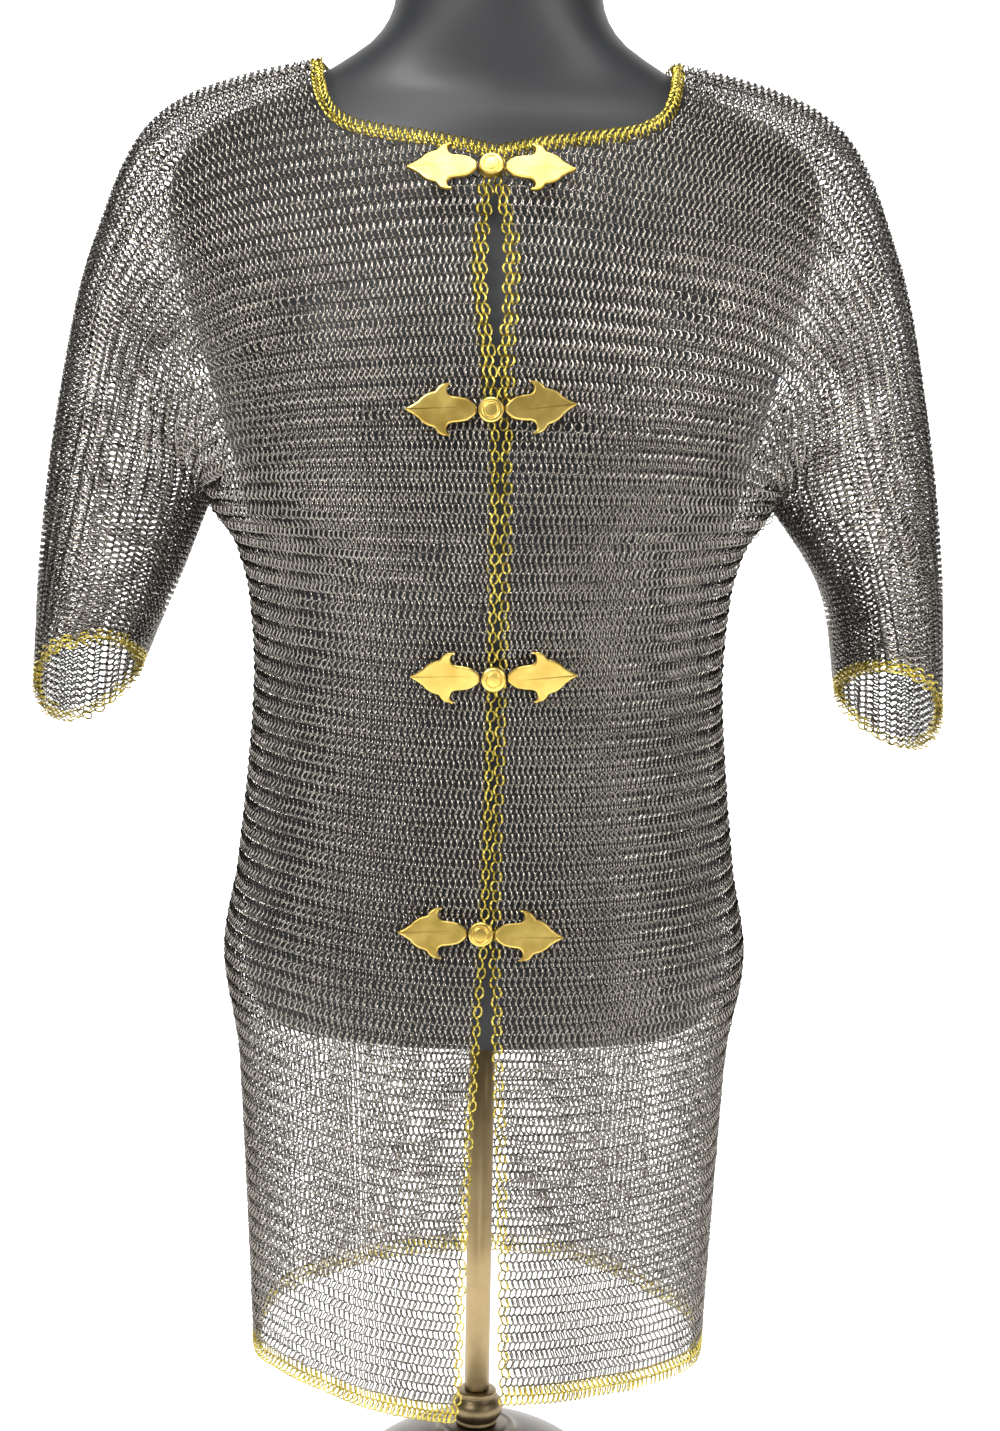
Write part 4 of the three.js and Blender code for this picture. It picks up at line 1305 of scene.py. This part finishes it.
def lofted(rings: Array) -> tuple[Array, list[list[int]]]:
    """Join rings of points into a closed skin, with a fan on each end.

    Args:
        rings: rings by points by coordinates.

    Returns:
        The points and the faces.
    """
    count, sides = rings.shape[:2]
    ends = [rings[i].mean(axis=0)[None] for i in (0, -1)]
    points = np.concatenate([rings.reshape(-1, 3), *ends])
    faces = []
    for r in range(count - 1):
        for i in range(sides):
            a, b = r * sides + i, r * sides + (i + 1) % sides
            faces.append([a, b, b + sides, a + sides])
    low, high, top = count * sides, count * sides + 1, (count - 1) * sides
    for i in range(sides):
        j = (i + 1) % sides
        faces.append([low, j, i])
        faces.append([high, top + i, top + j])
    return points, faces


@dataclass(frozen=True)
class FormRow:
    """A section of the dress form."""

    z: float
    half_width: float
    front: float
    back: float
    power: float


FORM = (
    FormRow(338, 137, 98, 104, 2.3),
    FormRow(350, 145, 105, 112, 2.3),
    FormRow(378, 150, 107, 117, 2.3),
    FormRow(430, 145, 103, 107, 2.3),
    FormRow(500, 138, 97, 93, 2.3),
    FormRow(555, 135, 96, 88, 2.3),
    FormRow(600, 137, 101, 91, 2.3),
    FormRow(655, 150, 109, 99, 2.3),
    FormRow(700, 163, 110, 103, 2.25),
    FormRow(750, 178, 103, 105, 2.2),
    FormRow(800, 192, 88, 100, 2.1),
    FormRow(835, 197, 72, 92, 2.0),
    FormRow(860, 190, 60, 83, 1.85),
    FormRow(880, 170, 56, 70, 1.7),
    FormRow(896, 136, 50, 61, 1.6),
    FormRow(908, 109, 49, 58, 1.7),
    FormRow(918, 91, 50, 57, 1.8),
    FormRow(930, 74, 52, 57, 1.95),
    FormRow(945, 64, 54, 57, 2.0),
    FormRow(962, 61, 55, 57, 2.0),
)


@dataclass
class DressForm:
    """The limbless form and the plain cap on its neck."""

    sides: int = 84
    step: float = 7.0
    cap_gap: float = 0.36
    cap_height: float = 7.0
    cap_lip: float = 2.0

    def _ring(self, z: float, inset: float = 0.0) -> Array:
        """Return the form's section at a height, drawn in by inset."""
        at = np.array([z])
        half, front, back, power = (
            float(table_value(FORM, n, at)[0]) for n in ("half_width", "front", "back", "power")
        )
        angle = np.arange(self.sides) / self.sides * 2 * math.pi
        sine, cosine = np.sin(angle), np.cos(angle)
        depth = np.where(sine < 0, front - inset, back - inset)
        x = np.sign(cosine) * np.abs(cosine) ** (2 / power) * (half - inset)
        y = np.sign(sine) * np.abs(sine) ** (2 / power) * depth
        return np.stack([x, y, np.full_like(x, z)], axis=1)

    def build(self) -> list[Any]:
        """Build the form and its cap."""
        material = SATIN_LACQUER.material()
        bottom, top = FORM[0].z, FORM[-1].z
        rings = []
        for share in (0.02, 0.5, 0.85):
            rings.append(self._ring(bottom, inset=3.0 * (1 - share) / share if share > 0.4 else 90.0))
        rings += [self._ring(z) for z in np.arange(bottom + 1.5, top, self.step)]
        rings.append(self._ring(top))
        form = make_object("form_body", *lofted(np.array(rings)), material)
        declare(form, ("dress_form",))
        cap = self._cap(top, material)
        return [form, cap]

    def _cap(self, top: float, material: Any) -> Any:
        """Build the neck's cap, with a rounded lip."""
        base = self._ring(top)
        middle = base.mean(axis=0)
        profile = [(0, 0), (0.4, 1.4), (1.2, self.cap_lip), (self.cap_height - 3.4, self.cap_lip), (self.cap_height - 2, 1.3)]
        profile += [(self.cap_height - 1, 0), (self.cap_height - 0.4, -2), (self.cap_height, -6)]
        rings = []
        for rise, out in profile:
            direction = unit((base - middle) * [1, 1, 0])
            ring = base + direction * out
            ring[:, 2] = top + self.cap_gap + rise
            rings.append(ring)
        cap = make_object("form_neck_cap", *lofted(np.array(rings)), material)
        declare(cap, ("neck_cap",))
        return cap


def arc(
    centre: tuple[float, float], radius: float, start: float, end: float, steps: int
) -> list[tuple[float, float]]:
    """Return an arc of a turned profile, in degrees anticlockwise from straight outwards."""
    angles = np.radians(np.linspace(start, end, steps + 1))
    return [(centre[0] + radius * math.cos(a), centre[1] + radius * math.sin(a)) for a in angles]


@dataclass
class Stand:
    """The pole, its fittings and the domed foot."""

    sides: int = 72
    pole_radius: float = 8.0
    collar_bottom: float = 64.0
    collar_top: float = 86.0
    collar_radius: float = 17.0
    foot_radius: float = 105.0
    dome_radius: float = 90.0
    foot_height: float = 63.5
    form_bottom: float = 338.0
    gap: float = 0.36

    def _turned(
        self,
        name: str,
        profile: Sequence[tuple[float, float]],
        finish: Finish,
        node: str,
    ) -> Any:
        """Turn a profile of radii and heights about the pole's axis."""
        angle = np.arange(self.sides) / self.sides * 2 * math.pi
        rings = [
            np.stack([np.cos(angle) * r, np.sin(angle) * r, np.full_like(angle, z)], axis=1) for r, z in profile
        ]
        obj = make_object(name, *lofted(np.array(rings)), finish.material())
        declare(obj, (node,))
        return obj

    def build(self) -> list[Any]:
        """Build the stand, from the socket down."""
        top = self.form_bottom - self.gap
        low = top - 22
        socket = [(13.4, low + self.gap), (14, low + 1), (15, top - 7), (18, top - 4.6)]
        socket += [(33, top - 4), (34, top - 3), (34, top - 0.8), (33.2, top)]
        high, radius = self.collar_top, self.pole_radius
        pole = [(7.6, high + self.gap), (radius, high + 1), (radius, low - 0.6), (7.6, low)]
        bottom, middle = self.collar_bottom, (self.collar_bottom + self.collar_top) / 2
        collar = [(13, bottom), (13.5, bottom + 0.6), (13.5, bottom + 1.8), (13.0, bottom + 2.4)]
        collar += arc((self.collar_radius - 9, middle - 0.6), 9, -52, 46, 16)
        collar += [(12.4, high - 2.8), (12.7, high - 2.2), (12.8, high - 1), (12.2, high - 0.2), (11.6, high)]
        return [
            self._turned("stand_socket", socket, PATINATED_BRASS, "pole_socket"),
            self._turned("stand_pole", pole, PATINATED_BRASS, "pole"),
            self._turned("stand_collar", collar, PATINATED_BRASS, "pole_collar"),
            self._turned("stand_foot", self._foot(), PLATED_IRON, "foot"),
        ]

    def _foot(self) -> list[tuple[float, float]]:
        """Return the foot's profile: a rolled rim, a dome and two raised rings at its top."""
        radius, height = self.foot_radius, self.foot_height
        profile = [(radius - 1, 0.0), (radius, 1.0), (radius, 4.4), (radius - 0.5, 6.2), (radius - 2, 7.5)]
        for share in np.linspace(0, 1, 25):
            angle = 0.1 + 1.16 * share
            rise = (height - 8) * math.sin(angle) / math.sin(1.26)
            profile.append((self.dome_radius * math.cos(angle), 4 + rise))
        profile += [(25.6, height - 3.0), (25, height - 1.8), (24, height - 1.0), (22.6, height - 0.9)]
        profile += [(20.6, height - 1.5), (19.4, height - 0.7), (18.4, height - 0.3)]
        return profile


@dataclass(frozen=True)
class ClaspPlace:
    """Where a clasp sits: down the front, to the wearer's left, and its left leaf's tip in degrees."""

    name: str
    v: float
    x: float
    tip: float


CLASPS = (
    ClaspPlace("collar", 115, -3, 0),
    ClaspPlace("chest", 246, -1, 5),
    ClaspPlace("waist", 394, 3, 3),
    ClaspPlace("hip", 542, -2, -2),
)


@dataclass
class Clasps:
    """The cast clasps: on each a boss between two leaves."""

    cloth: Cloth
    length: float = 48.0
    barb: float = 14.6
    tail: float = 6.6
    yaw: float = 3.2
    clear: float = 3.8

    def _outline(self) -> Array:
        """Return half the leaf's outline, from its neck at the boss to its point."""
        barb, tail = self.barb, self.tail
        curves = [
            ((13.4, tail - 0.5), (10.0, tail - 2.2)),
            ((20.8, tail + 0.7), (17.0, tail + 0.5)),
            ((24.4, barb - 5.2), (23.6, tail + 0.9)),
            ((22.2, barb), (25.8, barb - 1.8)),
            ((30.6, barb - 3.4), (28.4, barb + 0.8)),
            ((32.4, barb - 4.7), (31.2, barb - 4.5)),
            ((40.5, 4.9), (37.5, barb - 5.8)),
        ]
        points = [np.array([8.0, 1.7])]
        for to, via in curves:
            start = points[-1]
            for t in np.linspace(0, 1, 9)[1:]:
                point = (1 - t) ** 2 * start + 2 * t * (1 - t) * np.array(via) + t * t * np.array(to)
                points.append(point)
        points += [np.array([44.2, 2.4]), np.array([self.length, 0.4])]
        return np.array(points)

    def _leaf(self) -> tuple[Array, list[list[int]]]:
        """Return the leaf's mesh, lying flat: straight sides, a rounded shoulder and a crowned top."""
        half = self._outline()
        outline = np.concatenate([half, (half * [1, -1])[::-1]])
        count = len(outline)
        before, after = np.roll(outline, 1, axis=0), np.roll(outline, -1, axis=0)
        along = unit(after - before)
        inward = np.stack([along[:, 1], -along[:, 0]], axis=1)
        levels = [(0.35, 0.0), (0.0, 0.3), (0.0, 1.5), (0.18, 2.1), (0.55, 2.5), (1.0, 2.62)]
        rings = [np.column_stack([outline + inward * inset, np.full(count, z)]) for inset, z in levels]
        points = np.concatenate(rings)
        faces = []
        for r in range(len(levels) - 1):
            for i in range(count):
                a, b = r * count + i, r * count + (i + 1) % count
                faces.append([a, a + count, b + count, b])
        top = (len(levels) - 1) * count
        flat = [Vector((x, y, 0)) for x, y in outline]
        for a, b, c in tessellate_polygon([flat]):
            faces.append([top + a, top + b, top + c])
            faces.append([a, c, b])
        return points, faces

    def _boss(self) -> tuple[Array, list[list[int]]]:
        """Return the boss's mesh: a button with a ring cut into its face."""
        profile = [(6.7, 0), (7.1, 0.4), (7.1, 3.4), (6.9, 4.1), (6.2, 4.6), (5.0, 4.72), (4.7, 4.6)]
        profile += [(4.45, 4.2), (4.15, 4.2), (3.9, 4.6), (3.6, 4.75), (2.0, 4.9), (0.8, 4.95)]
        angle = np.arange(48) / 48 * 2 * math.pi
        rings = [
            np.stack([np.cos(angle) * r, np.sin(angle) * r, np.full(48, float(z))], axis=1)
            for r, z in profile
        ]
        return lofted(np.array(rings))

    def _frame(self, place: ClaspPlace) -> Matrix:
        """Return where the clasp lies on the closed front, in millimetres."""
        at = places(np.zeros(3), np.array([place.v - 12, place.v, place.v + 12]), False, 1)
        above, middle, below = self.cloth.points(at) * [0, 1, 1]
        up = Vector(above - below).normalized()
        right = Vector((1, 0, 0))
        out = right.cross(up)
        origin = Vector(middle) + out * self.clear
        origin.x = place.x
        frame = Matrix((right, up, out)).transposed().to_4x4()
        frame.translation = origin
        return frame

    def build(self) -> list[Any]:
        """Build the clasps."""
        material = POLISHED_BRASS.material()
        objects = []
        for place in CLASPS:
            frame = self._frame(place)
            for side, word in ((1, "left"), (-1, "right")):
                turn = Matrix.Rotation(math.radians(self.yaw * side), 4, "Y")
                tip = Matrix.Rotation(math.radians(place.tip if side > 0 else 180), 4, "Z")
                leaf = frame @ turn @ tip
                objects.append(self._put(self._leaf(), leaf, place, f"leaf_{word}", material))
            objects.append(self._put(self._boss(), frame, place, "boss", material))
        return objects

    def _put(
        self,
        shape: tuple[Array, list[list[int]]],
        frame: Matrix,
        place: ClaspPlace,
        part: str,
        material: Any,
    ) -> Any:
        points, faces = shape
        m = np.array(frame)
        moved = points @ m[:3, :3].T + m[:3, 3]
        obj = make_object(f"cast_{place.name}_{part}", moved, faces, material)
        obj.data.set_sharp_from_angle(angle=math.radians(SHARP_DEGREES))
        declare(obj, (f"clasp_{place.name}_{part}",))
        return obj


# ---- The studio ---------------------------------------------------------------------------------


@dataclass(frozen=True)
class Softbox:
    """A large soft light: where it stands, its size and its strength in watts."""

    name: str
    place: tuple[float, float, float]
    size: float
    watts: float


class Strength(Enum):
    """How bright the surroundings and the paper behind are."""

    WORLD = 0.14
    PAPER = 0.95


@dataclass
class Studio:
    """The floor, the light and the camera."""

    distance: float = 1.4858
    height: float = 0.730
    pitch_degrees: float = 7.895
    roll_degrees: float = 0.94
    view_degrees: float = 32.95
    shift: float = 0.00857
    softboxes: tuple[Softbox, ...] = (
        Softbox("key", (-1.2, -1.7, 2.0), 0.9, 66),
        Softbox("fill", (1.5, -1.4, 1.4), 1.1, 26),
        Softbox("top", (0.0, -0.5, 2.4), 1.2, 30),
    )

    def camera(self) -> None:
        """Set the camera up."""
        data = bpy.data.cameras.new("camera")
        data.sensor_fit = "VERTICAL"
        data.sensor_height = 24
        data.lens = 12 / math.tan(math.radians(self.view_degrees / 2))
        data.shift_x = self.shift
        data.clip_start = 0.05
        camera = bpy.data.objects.new("camera", data)
        tilt = Matrix.Rotation(math.radians(90 - self.pitch_degrees), 4, "X")
        roll = Matrix.Rotation(math.radians(self.roll_degrees), 4, "Z")
        camera.matrix_world = Matrix.Translation((0, -self.distance, self.height)) @ tilt @ roll
        bpy.context.scene.collection.objects.link(camera)
        bpy.context.scene.camera = camera

    def light(self) -> None:
        """Set the lights and the surroundings up."""
        for box in self.softboxes:
            data = bpy.data.lights.new(box.name, "AREA")
            data.shape = "DISK"
            data.size = box.size
            data.energy = box.watts
            lamp = bpy.data.objects.new(box.name, data)
            aim = Vector((0, 0, 0.55)) - Vector(box.place)
            lamp.location = box.place
            lamp.rotation_euler = aim.to_track_quat("-Z", "Y").to_euler()
            bpy.context.scene.collection.objects.link(lamp)
        world = bpy.data.worlds.new("studio")
        world.use_nodes = True
        tree = world.node_tree
        back = tree.nodes["Background"]
        back.inputs["Color"].default_value = linear("#fbfbfc")
        seen = add_node(tree, "ShaderNodeLightPath").outputs["Is Camera Ray"]
        tree.links.new(ranged(tree, seen, Strength.WORLD.value, 1.0), back.inputs["Strength"])
        bpy.context.scene.world = world
        bpy.context.scene.view_settings.view_transform = "Standard"

    def floor(self) -> None:
        """Lay the floor, which sweeps up behind into a backdrop."""
        sweep = [(-4.0, 0.0), (1.6, 0.0)]
        turns = np.radians(np.linspace(8, 90, 12))
        sweep += [(1.6 + 0.9 * math.sin(a), 0.9 - 0.9 * math.cos(a)) for a in turns]
        sweep.append((2.5, 5.0))
        points = [(x * 1000, y * 1000, z * 1000) for y, z in sweep for x in (-4.0, 4.0)]
        faces = [[2 * i, 2 * i + 1, 2 * i + 3, 2 * i + 2] for i in range(len(sweep) - 1)]
        white = Finish("matt studio paper", "#f2f2f3", "#f7f7f8", 0.0, (0.8, 0.9), 400, 2, 0.01)
        paper = white.material()
        for node in paper.node_tree.nodes:
            if node.type == "BSDF_PRINCIPLED":
                node.inputs["Emission Color"].default_value = linear("#ffffff")
                node.inputs["Emission Strength"].default_value = Strength.PAPER.value
        make_object("floor", np.array(points), faces, paper)


def main() -> None:
    """Build the whole part and the studio round it."""
    logging.basicConfig(level=logging.INFO, format="%(name)s %(message)s")
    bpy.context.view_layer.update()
    studio = Studio()
    studio.camera()
    studio.light()
    studio.floor()
    hauberk = Hauberk()
    objects = hauberk.build()
    objects += DressForm().build()
    objects += Stand().build()
    objects += Clasps(hauberk.cloth).build()
    faces = sum(sum(len(p.vertices) - 2 for p in o.data.polygons) for o in objects)
    LOG.info("%d pieces, %d triangles", len(objects), faces)


if __name__ == "__main__":
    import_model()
    main()
